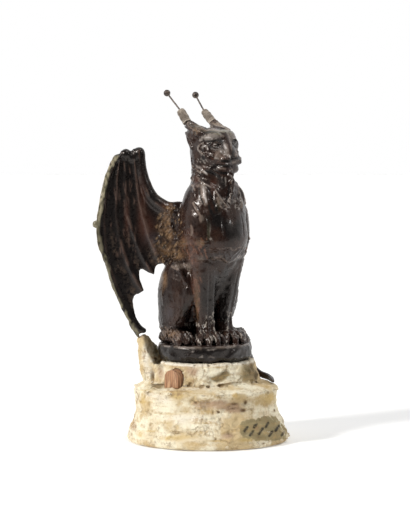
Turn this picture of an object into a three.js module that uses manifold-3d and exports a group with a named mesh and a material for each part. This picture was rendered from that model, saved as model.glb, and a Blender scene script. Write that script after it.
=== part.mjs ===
// Seated winged chimera on its plaster plinth.
// Millimetres, +Z up. The figure faces -Y and its right side is -X.
// The origin is the middle of the plinth's underside.
// Inside the model, heights are counted from the top of the plinth's thin foot ring,
// and the whole group is lifted by the thickness of that ring at the end.
import * as THREE from 'three';
import { LoftGeometry } from 'three/addons/geometries/LoftGeometry.js';
import { mergeVertices } from 'three/addons/utils/BufferGeometryUtils.js';
import Module from 'manifold-3d';

const wasm = await Module();
wasm.setup();

// Driving dimensions
const FOOT_RADIUS = 61;        // flared foot of the plinth
const FOOT_THICKNESS = 1.5;    // thin ring under the flare
const WAIST_RADIUS = 53;       // narrowest part of the lower tier
const LEDGE_RADIUS = 54.4;     // rim of the lower tier
const LEDGE_Z = 39;            // height of that rim
const TIER_RADIUS = 41.6;      // foot of the upper tier
const TIER_FOOT_Z = 43.8;      // where the upper tier rises from the ledge
const TIER_TOP_Z = 59.5;       // bed that carries the figure's slab
const TIER_SHIFT_Y = 4.5;      // the upper tier and slab sit a little to the back
const PROP_TOP_Z = 74;         // tops of the props under the wing tips
const SLAB_RADIUS = 34.5;
const SLAB_TOP_Z = 72;
const GAP = 0.3;               // space between two pieces that touch
const EYE_Z = 221;
const HORN_END = new THREE.Vector3(12.2, 9, 237);  // end of the left horn stump, where its sleeve begins
const WING_SWEEP = THREE.MathUtils.degToRad(40);   // how far each wing turns back from the shoulder line
const WING_ROOT = [15, 18];    // distance of the wing's hinge line from the middle, and back
const WING_CUP = 7;            // how far the wing's outer edge comes forward
const KEY_WIDTH = 12.4;
const KEY_HEIGHT = 13.6;
const KEY_DEPTH = 9;
const KEY_DIRECTION = new THREE.Vector3(-0.942, -0.336, 0).normalize();  // the way its face looks
const KEY_FACE_DISTANCE = 45.6;  // of the key's face from the middle of the upper tier
const KEY_FOOT_Z = 41.6;
const PIN_RADIUS = 0.65;
const BALL_RADIUS = 2.65;
// Pins: where each enters its sleeve, the middle of its ball, and the sleeve's radius
const PINS = {
  right: { side: -1, entry: [12.8, 17, 246.2], ball: [13.6, 32.9, 259.6], capRadius: 3.3 },
  left: { side: 1, entry: [12.7, 20.4, 245.4], ball: [13.6, 32.9, 258.3], capRadius: 3.1 },
};

const X_AXIS = new THREE.Vector3(1, 0, 0);
const Z_AXIS = new THREE.Vector3(0, 0, 1);

// Six times the volume that the surface encloses, negative when it is inside out
function signedVolume(positions, index) {
  const corner = [0, 1, 2].map(() => new THREE.Vector3());
  let sum = 0;
  for (let i = 0; i < index.length; i += 3) {
    corner.forEach((c, k) => c.fromArray(positions, 3 * index[i + k]));
    sum += corner[0].dot(corner[1].cross(corner[2]));
  }
  return sum;
}

// A three.js geometry as a closed solid with its faces pointing out
function solid(geometry) {
  const bare = new THREE.BufferGeometry();
  bare.setAttribute('position', geometry.getAttribute('position').clone());
  const count = geometry.getAttribute('position').count;
  bare.setIndex(geometry.index ? geometry.index.clone() : [...Array(count).keys()]);
  const merged = mergeVertices(bare, 1e-4);
  const positions = merged.getAttribute('position').array;
  const index = [];
  for (let i = 0; i < merged.index.count; i += 3) {
    const [a, b, c] = [0, 1, 2].map((k) => merged.index.getX(i + k));
    if (a !== b && b !== c && c !== a) index.push(a, b, c);
  }
  if (signedVolume(positions, index) < 0) index.reverse();
  return new wasm.Manifold(new wasm.Mesh({
    numProp: 3,
    vertProperties: new Float32Array(positions),
    triVerts: new Uint32Array(index),
  }));
}

function join(parts) {
  return parts.reduce((sum, part) => sum.add(part));
}

function toMesh(name, body, material) {
  const data = body.getMesh();
  const geometry = new THREE.BufferGeometry();
  const positions = new Float32Array(data.vertProperties);
  const triangles = new Uint32Array(data.triVerts);
  geometry.setAttribute('position', new THREE.BufferAttribute(positions, 3));
  geometry.setIndex(new THREE.BufferAttribute(triangles, 1));
  geometry.computeVertexNormals();
  const mesh = new THREE.Mesh(geometry, material);
  mesh.name = name;
  return mesh;
}

// Smooth curve through points
function smooth(points) {
  const vectors = points.map((p) => new THREE.Vector3(...p));
  return new THREE.CatmullRomCurve3(vectors, false, 'centripetal');
}

// A limb: oval sections square to a smooth path.
// Each station is [x, y, z, half width across, half depth]; grow widens every section.
function limb(stations, { sides = 12, rings = 10, across = X_AXIS, grow = 0 } = {}) {
  const path = smooth(stations.map(([x, y, z]) => [x, y, z]));
  const sizes = smooth(stations.map(([, , , a, b]) => [a, b ?? a, 0]));
  const sections = [];
  for (let i = 0; i <= rings; i++) {
    const t = i / rings;
    const tangent = path.getTangent(t);
    const side = across.clone().addScaledVector(tangent, -across.dot(tangent)).normalize();
    const other = new THREE.Vector3().crossVectors(tangent, side);
    const centre = path.getPoint(t);
    const size = sizes.getPoint(t);
    const section = [];
    for (let j = 0; j < sides; j++) {
      const angle = (2 * Math.PI * j) / sides;
      section.push(centre.clone()
        .addScaledVector(side, (Math.max(size.x, 0.3) + grow) * Math.cos(angle))
        .addScaledVector(other, (Math.max(size.y, 0.3) + grow) * Math.sin(angle)));
    }
    sections.push(section);
  }
  return solid(new LoftGeometry(sections, { capStart: true, capEnd: true }));
}

// An egg-shaped lump, turned about X and then about Z, in degrees
function lump([x, y, z], [rx, ry, rz], { tiltX = 0, turnZ = 0, detail = 10 } = {}) {
  const geometry = new THREE.SphereGeometry(1, detail, Math.round(detail * 0.7));
  const turn = new THREE.Euler(THREE.MathUtils.degToRad(tiltX), 0, THREE.MathUtils.degToRad(turnZ), 'ZYX');
  geometry.scale(rx, ry, rz);
  geometry.applyMatrix4(new THREE.Matrix4().makeRotationFromEuler(turn));
  geometry.translate(x, y, z);
  return solid(geometry);
}

// Both sides of the figure: make(side) with side -1 on its right and +1 on its left
function pair(make) {
  return make(-1).add(make(1));
}

// The wavy factor that makes rough plaster rings uneven, the same at every call
function uneven(angle, seed, amount) {
  let sum = 0;
  for (const [n, height] of [[3, 0.5], [5, 0.3], [8, 0.25], [13, 0.15]]) {
    sum += height * Math.sin(n * angle + seed * (1 + 0.37 * n));
  }
  return 1 + amount * sum;
}

// Rings of [radius, z, shift to the back, roughness] stacked into a solid
function rings(levels, sides, seed) {
  const sections = levels.map(([radius, z, shift, rough], level) => {
    const section = [];
    for (let j = 0; j < sides; j++) {
      const angle = (2 * Math.PI * j) / sides;
      const r = radius * uneven(angle, seed + 0.35 * level, rough);
      section.push(new THREE.Vector3(r * Math.cos(angle), shift + r * Math.sin(angle), z));
    }
    return section;
  });
  return solid(new LoftGeometry(sections, { capStart: true, capEnd: true }));
}

// Trunk and neck: one upright form from the rump to the back of the skull
function trunk() {
  return limb([
    [0, 20, 76, 14, 13],
    [0, 19, 86, 20, 17],
    [0, 16, 100, 21.5, 20],
    [0, 11, 116, 20.5, 21.5],
    [0, 4, 132, 20.5, 23.5],
    [0, -3, 146, 22, 25.5],
    [0, -5.5, 158, 23.5, 26],
    [0, -6, 168, 25, 24.4],
    [0, -6, 177, 25, 22],
    [0, -6, 185, 21, 18.8],
    [0, -5.5, 194, 16.8, 17.2],
    [0, -5, 205, 15.8, 16.6],
    [0, -4, 216, 13, 14],
  ], { sides: 16, rings: 13 });
}

// Deep chest that overhangs the front legs
function chest() {
  return lump([0, -15, 152], [21.5, 17.5, 17.5], { tiltX: 12, detail: 11 });
}

function frontLeg(side) {
  const leg = limb([
    [17.5 * side, -7, 172, 5, 6],
    [18.4 * side, -8.5, 166, 9, 13],
    [17.2 * side, -9.5, 152, 9.8, 14],
    [14 * side, -9.5, 136, 9.6, 11.5],
    [11.8 * side, -9.2, 120, 8.8, 9],
    [10.1 * side, -8.4, 105, 7.2, 7.4],
    [8.6 * side, -7.6, 91, 6.1, 6.4],
    [8.7 * side, -8.2, 80, 6.9, 7.4],
    [9.2 * side, -10, 70, 8, 8.5],
  ], { sides: 10, rings: 8 });
  return leg.add(paw([9.4 * side, -10], 8.6, 12, side * 12, 4));
}

// A spread paw: long bent toes that fan out from the ankle
function paw([x, y], width, reach, turn, toes) {
  const parts = [lump([x, y - 1, SLAB_TOP_Z + 3.5], [width, width, 6.2], { detail: 6 })];
  for (let k = 0; k < toes; k++) {
    const fan = THREE.MathUtils.degToRad(turn - 90 + (k - (toes - 1) / 2) * 33);
    const toe = [[0.35, 7.4, 2.1], [0.75, 6.4, 2.8], [1, 3.6, 2.8], [1.12, 0.4, 1.8]];
    const stations = toe.map(([part, height, half]) => [
      x + part * reach * Math.cos(fan),
      y + part * reach * Math.sin(fan),
      SLAB_TOP_Z + height,
      half,
    ]);
    const across = new THREE.Vector3(-Math.sin(fan), Math.cos(fan), 0);
    parts.push(limb(stations, { sides: 4, rings: 3, across }));
  }
  return join(parts);
}

function hindLeg(side) {
  const thigh = limb([
    [15 * side, 20, 74, 5, 7],
    [19.4 * side, 18.5, 84, 8.6, 12.5],
    [20.8 * side, 15, 97, 9.8, 14.8],
    [21 * side, 13.5, 110, 9.8, 17],
    [20.8 * side, 11.5, 120, 9.2, 15.5],
    [20.2 * side, 9.5, 128, 7.6, 12],
    [19.6 * side, 8.5, 133, 3, 5],
  ], { sides: 10, rings: 7 });
  const shin = limb([
    [20 * side, -3, 120, 4, 4],
    [20.6 * side, -3.5, 110, 5, 5],
    [22.5 * side, 8, 90, 4.8, 5.6],
    [24 * side, 17, 77, 4.6, 5.4],
  ], { sides: 6, rings: 4 });
  const foot = limb([
    [24.5 * side, 22, 76.5, 4.5, 4],
    [25 * side, 13, 77, 5.4, 5],
    [25 * side, 2, 76.5, 5.6, 4.6],
  ], { sides: 6, rings: 2 });
  return join([thigh, shin, foot, paw([24.6 * side, 2.5], 6, 9.5, side * 8, 3)]);
}

// Head: skull, cheeks, brows, eyes, bridge of the nose, muzzle pads and jaw
function head() {
  const skull = lump([0, -4, 217], [15.2, 17.5, 16.6], { detail: 12 });
  const cheeks = pair((side) => (
    lump([8.8 * side, -12, 212], [6, 8.2, 8.5], { tiltX: -20, detail: 6 })
  ));
  const brows = pair((side) => limb([
    [2.6 * side, -21.6, EYE_Z + 2.2, 2.2, 2.4],
    [7.6 * side, -20, EYE_Z + 4, 2.8, 2.8],
    [12 * side, -15.5, EYE_Z + 3.6, 2.4, 2.4],
    [14.4 * side, -10, EYE_Z + 1.2, 1.2, 1.4],
  ], { sides: 5, rings: 4, across: Z_AXIS }));
  const eyes = pair((side) => (
    lump([9 * side, -19.2, EYE_Z - 0.4], [3.1, 2.4, 1.9], { turnZ: 24 * side, detail: 6 })
  ));
  const bridge = limb([
    [0, -19.5, EYE_Z + 6, 3.6, 3],
    [0, -22.4, EYE_Z + 0.5, 3.4, 3],
    [0, -25.4, EYE_Z - 6, 3.8, 3.4],
    [0, -26.6, EYE_Z - 10.5, 4.2, 3],
  ], { sides: 6, rings: 4 });
  const pads = pair((side) => (
    lump([4.2 * side, -23.6, EYE_Z - 12.6], [5, 5.4, 4.6], { turnZ: 14 * side, detail: 6 })
  ));
  const jaw = lump([0, -19, 204.4], [8.6, 8.6, 5.2], { tiltX: -8, detail: 8 });
  return join([skull, cheeks, brows, eyes, bridge, pads, jaw, beard()]);
}

// The beard runs from the chin down to the collar
function beard() {
  return limb([
    [0, -24, 202, 3.4, 3.6],
    [0.8, -24.8, 196, 3.4, 3.8],
    [0.4, -23.8, 189, 3, 3.4],
    [1.4, -25.6, 182, 2.6, 3],
    [0.2, -28.4, 176, 1, 1.4],
  ], { sides: 5, rings: 5 });
}

// Collar of pointed locks that hangs in a V on the chest
function collar() {
  const ring = pair((side) => limb([
    [0, -27.8, 176.5, 3.4, 2.4],
    [7 * side, -25.4, 183, 3.8, 2.6],
    [13.4 * side, -18.4, 190, 3.6, 2.6],
    [16.6 * side, -9, 195.5, 3, 2.4],
    [16.4 * side, 2, 198.5, 2, 1.8],
  ], { sides: 4, rings: 5, across: Z_AXIS }));
  const locks = [1, 2].map((k) => pair((side) => limb([
    [(4.3 * k + 1) * side, -29.6 + 2.8 * k, 179 + 4.4 * k, 2.8, 2.2],
    [(4.7 * k + 1.6) * side, -31.2 + 2.9 * k, 172.5 + 4.2 * k, 2.6, 2.2],
    [(4.9 * k + 1.6) * side, -31.4 + 2.6 * k, 167 + 4.2 * k, 0.6, 0.8],
  ], { sides: 4, rings: 2 })));
  return join([ring, ...locks]);
}

// Horn stump with the small pointed ear behind it
function horn(side) {
  const stump = limb([
    [10.4 * side, -12, 227.5, 4.4, 4],
    [10.6 * side, -6, 230.6, 5.4, 4.8],
    [11.2 * side, 0.5, 232.6, 5, 4.4],
    [11.9 * side, 6, 235.4, 4, 3.6],
    [HORN_END.x * side, HORN_END.y, HORN_END.z, 3.2, 3],
  ], { sides: 8, rings: 6 });
  const ear = limb([
    [12.6 * side, 3, 226, 3.6, 2.6],
    [13.2 * side, 8.5, 229.5, 2.6, 1.8],
    [13.6 * side, 13, 231.4, 0.5, 0.5],
  ], { sides: 4, rings: 3 });
  return stump.add(ear);
}

// The wing is drawn flat: s runs outwards from its hinge line, z is height.
// Each rib runs from the wrist at the top to a point of the scalloped lower edge.
// The first rib is the outer rim; the last two are the middle and the inner edge of the arm.
const WING_RIBS = [
  [
    [47.8, 211], [54.2, 197], [57.6, 181], [60.6, 160], [59.4, 146],
    [55, 133], [47.8, 110], [37.6, 89], [29.5, 76.8],
  ], [
    [44, 213], [51.4, 194], [54, 176], [55, 160], [53.6, 142],
    [48.6, 122], [41, 103], [33.5, 88], [28.2, 78],
  ], [
    [42, 216], [44.6, 200], [45.4, 185], [45.6, 168], [43.4, 152],
    [39.5, 137.5], [34, 124], [28.6, 114.4], [25.4, 110.8],
  ], [
    [38, 213.6], [38.6, 200], [38.6, 182], [36.8, 166], [33.4, 155],
    [28.4, 142], [24, 132.6], [20.6, 126.4], [17.8, 123],
  ], [
    [33, 218], [31.6, 203], [30, 188], [28, 176], [25.4, 165],
    [22, 153], [18, 142], [14.6, 135], [11, 131.4],
  ], [
    [28.6, 217.6], [27.4, 203], [23.8, 190], [18.4, 179.6], [8, 172.6],
    [-3, 165], [-6, 152], [-6, 138], [-3, 122],
  ], [
    [24.8, 213], [23.6, 203], [20, 190.6], [14.6, 182.2], [7, 178],
    [-5, 177], [-10, 160], [-10, 140], [-8, 122],
  ],
];
// How far the lower edge is scalloped back between one rib and the next, as a part of the rib
const WING_SCALLOPS = [0.01, 0.17, 0.23, 0.07, 0.0, 0.0];
// Half thickness of the sheet at each rib, at the wrist end, and how much of it is left at the far end
const WING_HALVES = [2.9, 2.4, 2.6, 2.6, 2.6, 4, 1.2];
const WING_TAPER = [0.55, 0.55, 0.55, 0.55, 0.65, 1.4, 2];
// Share of the half thickness that is gone midway between two ribs
const WING_WEB = 0.55;

function ribPoint(rib, t) {
  return smooth(rib.map(([s, z]) => [s, z, 0])).getPoint(t);
}

function ribHalf(rib, t) {
  return WING_HALVES[rib] * (1 + (WING_TAPER[rib] - 1) * t);
}

// Place of a point of the wing: s outwards, forward in front of the flat sheet, z up
function wingPlace(side, s, forward, z) {
  const out = new THREE.Vector3(side * Math.cos(WING_SWEEP), Math.sin(WING_SWEEP), 0);
  const front = new THREE.Vector3(side * Math.sin(WING_SWEEP), -Math.cos(WING_SWEEP), 0);
  const cup = WING_CUP * Math.max(0, (s - 18) / 42) ** 2;
  return new THREE.Vector3(side * WING_ROOT[0], WING_ROOT[1], z)
    .addScaledVector(out, s)
    .addScaledVector(front, forward + cup);
}

// Leathery sheet, thick along each rib and thin between two ribs
function wingSheet(side) {
  const rows = 8;
  const sections = [];
  for (let span = 0; span < WING_RIBS.length - 1; span++) {
    const columns = WING_SCALLOPS[span] > 0.02 ? 3 : 2;
    for (let k = span === 0 ? 0 : 1; k <= columns; k++) {
      const w = k / columns;
      const hollow = 4 * w * (1 - w);
      const web = span === WING_RIBS.length - 2 ? 0 : WING_WEB * hollow;
      const front = [];
      const back = [];
      for (let row = 0; row <= rows; row++) {
        const t = (row / rows) * (1 - WING_SCALLOPS[span] * hollow);
        const at = ribPoint(WING_RIBS[span], t).lerp(ribPoint(WING_RIBS[span + 1], t), w);
        const half = THREE.MathUtils.lerp(ribHalf(span, t), ribHalf(span + 1, t), w);
        front.push(wingPlace(side, at.x, half * (1 - web), at.y));
        back.unshift(wingPlace(side, at.x, -half * (1 - 0.6 * web), at.y));
      }
      sections.push([...front, ...back]);
    }
  }
  sections.unshift(closedUp(sections[0]));
  sections.push(closedUp(sections[sections.length - 1]));
  return solid(new LoftGeometry(sections));
}

// A flattened copy of a section, front and back brought together, that shuts the end of a sheet
function closedUp(section) {
  return section.map((p, i) => p.clone().lerp(section[section.length - 1 - i], 0.5));
}

function wing(side) {
  const spur = lump(wingPlace(side, 61.4, 0, 161).toArray(), [2.2, 2.2, 2.8], { detail: 4 });
  const claw = limb([
    [...wingPlace(side, 33, 0, 88).toArray(), 2.4],
    [...wingPlace(side, 28.4, 0.6, 81.5).toArray(), 2.6],
    [...wingPlace(side, 25.6, 1, 80.6).toArray(), 2],
  ], { sides: 5, rings: 2 });
  return join([wingSheet(side), claw, spur]);
}

// Tail: from the rump round the figure's left, over the slab's edge and down to the ledge
const TAIL = [
  [2, 31, 84, 6, 6],
  [13, 31.5, 76.4, 5, 5],
  [24, 21, 75.6, 4.6, 4.4],
  [28, 7, 75.4, 4.4, 4.2],
  [25.5, -5, 75.6, 4.3, 4.2],
  [21.5, -12, 76.8, 4.4, 4.4],
  [28, -11.6, 70.5, 4.2, 4],
  [32, -6.4, 63, 3.6, 3.4],
  [41, -0.6, 56, 3, 2.9],
  [43.9, -0.8, 49.4, 2.6, 2.5],
  [46, -7, 45.4, 2.5, 2.1],
  [46, -15, 44.2, 2.4, 1.9],
  [43, -23.5, 43.2, 2, 1.6],
  [38.4, -31, 42.6, 1, 0.9],
];

function tail(grow = 0) {
  return limb(TAIL, { sides: 6, rings: 17, across: Z_AXIS, grow });
}

function slab(grow = 0) {
  const bottom = TIER_TOP_Z + GAP;
  return rings([
    [SLAB_RADIUS - 1.6 + grow, bottom - grow, TIER_SHIFT_Y, 0.02],
    [SLAB_RADIUS + grow, bottom + 3.5, TIER_SHIFT_Y, 0.02],
    [SLAB_RADIUS + 0.2 + grow, SLAB_TOP_Z - 3.5, TIER_SHIFT_Y, 0.02],
    [SLAB_RADIUS - 0.6 + grow, SLAB_TOP_Z + grow, TIER_SHIFT_Y, 0.02],
  ], 32, 1.7);
}

function chimera() {
  return join([
    trunk(), chest(), collar(), head(), slab(), tail(),
    pair(frontLeg), pair(hindLeg), pair(horn), pair(wing),
  ]).subtract(sleeve(PINS.right, GAP)).subtract(sleeve(PINS.left, GAP));
}

// Prop that rises from the ledge to the tip of a wing
function prop(side) {
  const out = new THREE.Vector3(0.735 * side, 0.678, 0);
  const levels = [
    [38, 36, 8.5, 13],
    [39, 48, 8.6, 12],
    [40.4, 58, 9.6, 10.5],
    [42.6, 66, 9, 8.6],
    [44.6, 71, 6.8, 6.6],
    [46.2, PROP_TOP_Z, 3.4, 3.8],
  ];
  const stations = levels.map(([distance, z, along, wide]) => (
    [out.x * distance, TIER_SHIFT_Y + out.y * distance, z, along, wide]
  ));
  return limb(stations, { sides: 8, rings: 5, across: out });
}

function plinth() {
  const tiers = rings([
    [FOOT_RADIUS - 0.8, -FOOT_THICKNESS, 0, 0.006],
    [FOOT_RADIUS, 1, 0, 0.012],
    [FOOT_RADIUS - 2, 8, 0, 0.014],
    [FOOT_RADIUS - 5, 14.5, 0, 0.014],
    [WAIST_RADIUS + 0.6, 21, 2.5, 0.014],
    [WAIST_RADIUS, 27, 4, 0.014],
    [WAIST_RADIUS + 0.6, 33, 3, 0.014],
    [LEDGE_RADIUS, 37, 1.4, 0.014],
    [LEDGE_RADIUS - 0.6, LEDGE_Z, 1.4, 0.014],
    [LEDGE_RADIUS - 5, LEDGE_Z + 2.2, 2, 0.014],
    [TIER_RADIUS + 1.6, TIER_FOOT_Z - 0.6, TIER_SHIFT_Y, 0.014],
    [TIER_RADIUS, TIER_FOOT_Z + 1.2, TIER_SHIFT_Y, 0.016],
    [TIER_RADIUS - 2, 53, TIER_SHIFT_Y, 0.016],
    [TIER_RADIUS - 4.4, TIER_TOP_Z, TIER_SHIFT_Y, 0.016],
  ], 28, 0.4);
  const props = pair(prop).subtract(slab(GAP)).subtract(pair(wingTipSpace));
  return tiers.subtract(keySolid(GAP)).add(props).subtract(tail(GAP + 0.1));
}

// Room for the end of a wing above its prop
function wingTipSpace(side) {
  const stations = [0.5, 0.75, 1].map((t) => {
    const at = ribPoint(WING_RIBS[0], t);
    return [...wingPlace(side, at.x, 0, at.y).toArray(), 3.2 - 1.6 * (t - 0.5)];
  });
  return limb(stations, { sides: 7, rings: 7 });
}

// Upright wooden key with an arched head, its face square to KEY_DIRECTION
function keySolid(grow = 0) {
  const half = KEY_WIDTH / 2 + grow;
  const outline = new THREE.Shape();
  outline.moveTo(-half, -grow);
  outline.lineTo(half, -grow);
  outline.lineTo(half * 0.96, KEY_HEIGHT * 0.55);
  outline.absellipse(0, KEY_HEIGHT * 0.55, half * 0.96, KEY_HEIGHT * 0.45 + grow, 0, Math.PI, false);
  outline.lineTo(-half, -grow);
  const options = { depth: KEY_DEPTH + grow, bevelEnabled: false, curveSegments: 10 };
  const geometry = new THREE.ExtrudeGeometry(outline, options);
  const sideways = new THREE.Vector3().crossVectors(Z_AXIS, KEY_DIRECTION);
  geometry.applyMatrix4(new THREE.Matrix4().makeBasis(sideways, Z_AXIS, KEY_DIRECTION));
  const start = KEY_DIRECTION.clone().multiplyScalar(KEY_FACE_DISTANCE - KEY_DEPTH - grow);
  geometry.translate(start.x, start.y + TIER_SHIFT_Y, KEY_FOOT_Z);
  return solid(geometry);
}

function point([x, y, z], side) {
  return new THREE.Vector3(x * side, y, z);
}

function pinShaft({ side, entry, ball }, radius, depth) {
  const top = point(ball, side);
  const along = point(entry, side).sub(top).normalize();
  const end = point(entry, side).addScaledVector(along, depth);
  const stations = [0, 0.5, 1].map((t) => [...top.clone().lerp(end, t).toArray(), radius]);
  return limb(stations, { sides: 8, rings: 1 });
}

function pin(data) {
  const centre = point(data.ball, data.side).toArray();
  const ball = lump(centre, [BALL_RADIUS, BALL_RADIUS, BALL_RADIUS], { detail: 9 });
  return pinShaft(data, PIN_RADIUS, 3.5).add(ball);
}

// Worn and slightly tapered sleeve that carries on from the end of a horn
function sleeve(data, grow = 0) {
  const start = new THREE.Vector3(HORN_END.x * data.side, HORN_END.y, HORN_END.z);
  const end = point(data.entry, data.side);
  const along = end.clone().sub(start).normalize();
  const first = start.addScaledVector(along, -grow);
  const r = data.capRadius + grow;
  const levels = [[0, 0.86], [0.06, 1], [0.5, 1.06], [0.92, 0.98], [1, 0.8]];
  const stations = levels.map(([t, part]) => [...first.clone().lerp(end, t).toArray(), r * part]);
  return limb(stations, { sides: 8, rings: 4 });
}

function hornCap(data) {
  return sleeve(data).subtract(pinShaft(data, PIN_RADIUS + GAP, 4));
}

const materials = {
  plaster: new THREE.MeshStandardMaterial({ color: 0xd8c8a2, roughness: 0.9, metalness: 0 }),
  bronzed: new THREE.MeshStandardMaterial({ color: 0x35241c, roughness: 0.38, metalness: 0.1 }),
  wood: new THREE.MeshStandardMaterial({ color: 0xa9714b, roughness: 0.75, metalness: 0 }),
  sleeve: new THREE.MeshStandardMaterial({ color: 0x6b5a4d, roughness: 0.8, metalness: 0 }),
  iron: new THREE.MeshStandardMaterial({ color: 0x4a403a, roughness: 0.5, metalness: 0.8 }),
};

const statue = new THREE.Group();
statue.add(
  toMesh('plinth', plinth(), materials.plaster),
  toMesh('chimera', chimera(), materials.bronzed),
  toMesh('wooden_key', keySolid(), materials.wood),
  toMesh('horn_cap_right', hornCap(PINS.right), materials.sleeve),
  toMesh('horn_cap_left', hornCap(PINS.left), materials.sleeve),
  toMesh('pin_right', pin(PINS.right), materials.iron),
  toMesh('pin_left', pin(PINS.left), materials.iron),
);
statue.position.z = FOOT_THICKNESS;

export default statue;
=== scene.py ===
"""Looks of the seated winged chimera on its plaster plinth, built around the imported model.

Each piece is modelled like clay. Forms are joined, carved and brushed in a grid of distances
to the surface, in millimetres and negative inside, and the zero surface becomes the mesh.
Heights are counted from the top of the plinth's thin foot ring, as in the part's source,
and LIFT raises them when a mesh is made.
"""
import math
from functools import partial

import bmesh
import bpy
import numpy as np
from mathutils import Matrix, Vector


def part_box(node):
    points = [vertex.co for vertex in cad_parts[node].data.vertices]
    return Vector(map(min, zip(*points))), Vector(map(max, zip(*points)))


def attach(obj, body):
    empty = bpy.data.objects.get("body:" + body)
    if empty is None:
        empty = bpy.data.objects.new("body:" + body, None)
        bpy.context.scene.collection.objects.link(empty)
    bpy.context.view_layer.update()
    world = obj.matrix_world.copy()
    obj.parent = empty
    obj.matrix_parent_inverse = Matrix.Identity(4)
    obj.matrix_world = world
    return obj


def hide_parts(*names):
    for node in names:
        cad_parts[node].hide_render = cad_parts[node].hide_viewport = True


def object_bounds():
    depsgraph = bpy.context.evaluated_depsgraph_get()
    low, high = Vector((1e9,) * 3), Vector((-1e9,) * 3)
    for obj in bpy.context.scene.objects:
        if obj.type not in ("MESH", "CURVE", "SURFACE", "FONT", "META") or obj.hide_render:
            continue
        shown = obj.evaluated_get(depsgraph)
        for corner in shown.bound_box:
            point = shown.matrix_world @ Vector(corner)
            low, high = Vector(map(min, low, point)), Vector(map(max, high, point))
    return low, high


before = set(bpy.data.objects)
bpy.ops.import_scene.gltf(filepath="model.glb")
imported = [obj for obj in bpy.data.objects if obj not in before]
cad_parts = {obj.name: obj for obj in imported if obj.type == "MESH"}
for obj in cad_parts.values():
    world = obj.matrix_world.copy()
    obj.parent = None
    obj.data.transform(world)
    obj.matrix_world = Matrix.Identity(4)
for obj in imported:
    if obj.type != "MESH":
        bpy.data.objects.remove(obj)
CAD_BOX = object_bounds()

# Places and sizes shared with the part's source, in millimetres
LIFT = 1.5
MM = 0.001
EYE_Z = 221
SLAB_TOP_Z = 72
SLAB_RADIUS = 34.5
TIER_TOP_Z = 59.5
TIER_FOOT_Z = 43.8
TIER_RADIUS = 41.6
TIER_SHIFT_Y = 4.5
LEDGE_Z = 39
LEDGE_RADIUS = 54.4
FOOT_RADIUS = 61
WAIST_RADIUS = 53
PROP_TOP_Z = 74
PROP_EDGE = (49.65, 2.6, 72.4)
WING_SWEEP = math.radians(40)
WING_ROOT = (15, 18)
WING_CUP = 7
WING_CUP_START, WING_CUP_SPAN = 18, 42
HORN_END = (12.2, 9, 237)
HEAD_MIDDLE = np.array((0, -4, 0))
HEAD_TURN = math.radians(8)
GAP = 0.3
PINS = {
    "right": dict(side=-1, entry=(12.8, 17, 246.2), ball=(13.6, 32.9, 259.6), cap_radius=3.3),
    "left": dict(side=1, entry=(12.7, 20.4, 245.4), ball=(13.6, 32.9, 258.3), cap_radius=3.1),
}
PIN_RADIUS = 0.65
BALL_RADIUS = 2.65
KEY_OUTWARD = np.array((-0.942, -0.336, 0)) / math.hypot(0.942, 0.336)
KEY_SIZE = (12.4, 9, 13.6)
KEY_FACE_DISTANCE = 45.6
KEY_FOOT_Z = 41.6

# Steps of the clay's grids in millimetres, and triangle budgets
FIGURE_STEP = 0.6
PLINTH_STEP = 0.7
SMALL_STEP = 0.18
FIGURE_TRIANGLES = 190000
PLINTH_TRIANGLES = 150000
SMALL_TRIANGLES = 14000
# The distance that clay starts from, and the thinnest limb
FAR = 50.0
THINNEST = 0.25
# Taken from a grid's size, this keeps places inside its last cell
INSIDE_LAST = 1.001
# Seeds of the random draws
FIGURE_SEED, PLINTH_SEED, HAIR_SEED = 7, 11, 23
# The figure's right side, which the photograph shows, and its left side
NEAR_SIDE = (-1,)
BOTH = (-1, 1)
UPRIGHT = (0, 0, 1)

# The photograph's view: 0.75 mm to a pixel at the object, from the figure's front right
PHOTO_WIDTH = 410
VIEW_AZIMUTH = math.radians(-38)
VIEW_DISTANCE = 1.6
VIEW_HEIGHT = 0.240
TARGET_HEIGHT = 0.1384
VIEW_SIDEWAYS = -0.00225
METRES_PER_PIXEL = 0.00075
PICTURE_MIDDLE = (205, 256.5)
SENSOR_WIDTH = 36
# Where a ray from the photograph's camera may meet the object, in millimetres
RAY_START, RAY_END, RAY_STEP = 1500, 1690, 0.5
RIGHT = Vector((math.cos(VIEW_AZIMUTH), math.sin(VIEW_AZIMUTH), 0))
BACK = Vector((math.sin(VIEW_AZIMUTH), -math.cos(VIEW_AZIMUTH), 0))


def place_object(name, data):
    """A new object that stands in the scene."""
    made = bpy.data.objects.new(name, data)
    bpy.context.scene.collection.objects.link(made)
    return made


def make_camera():
    """The photograph's camera; returns its place in the clay's millimetres, and its axes."""
    data = bpy.data.cameras.new("camera")
    data.sensor_fit = "HORIZONTAL"
    data.sensor_width = SENSOR_WIDTH
    data.lens = SENSOR_WIDTH * VIEW_DISTANCE / METRES_PER_PIXEL / PHOTO_WIDTH
    data.clip_end = 20
    camera = place_object("camera", data)
    camera.location = BACK * VIEW_DISTANCE + RIGHT * VIEW_SIDEWAYS + Vector((0, 0, VIEW_HEIGHT))
    target = RIGHT * VIEW_SIDEWAYS + Vector((0, 0, TARGET_HEIGHT))
    turn = (target - camera.location).to_track_quat("-Z", "Y")
    camera.rotation_euler = turn.to_euler()
    bpy.context.scene.camera = camera
    axes = [np.array(turn @ Vector(axis)) for axis in ((1, 0, 0), (0, 1, 0), (0, 0, -1))]
    return np.array(camera.location) / MM - (0, 0, LIFT), axes


VIEWER, (VIEW_RIGHT, VIEW_UP, VIEW_FORWARD) = make_camera()
FOCAL_PIXELS = VIEW_DISTANCE / METRES_PER_PIXEL


# Curves, noise and blending

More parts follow.
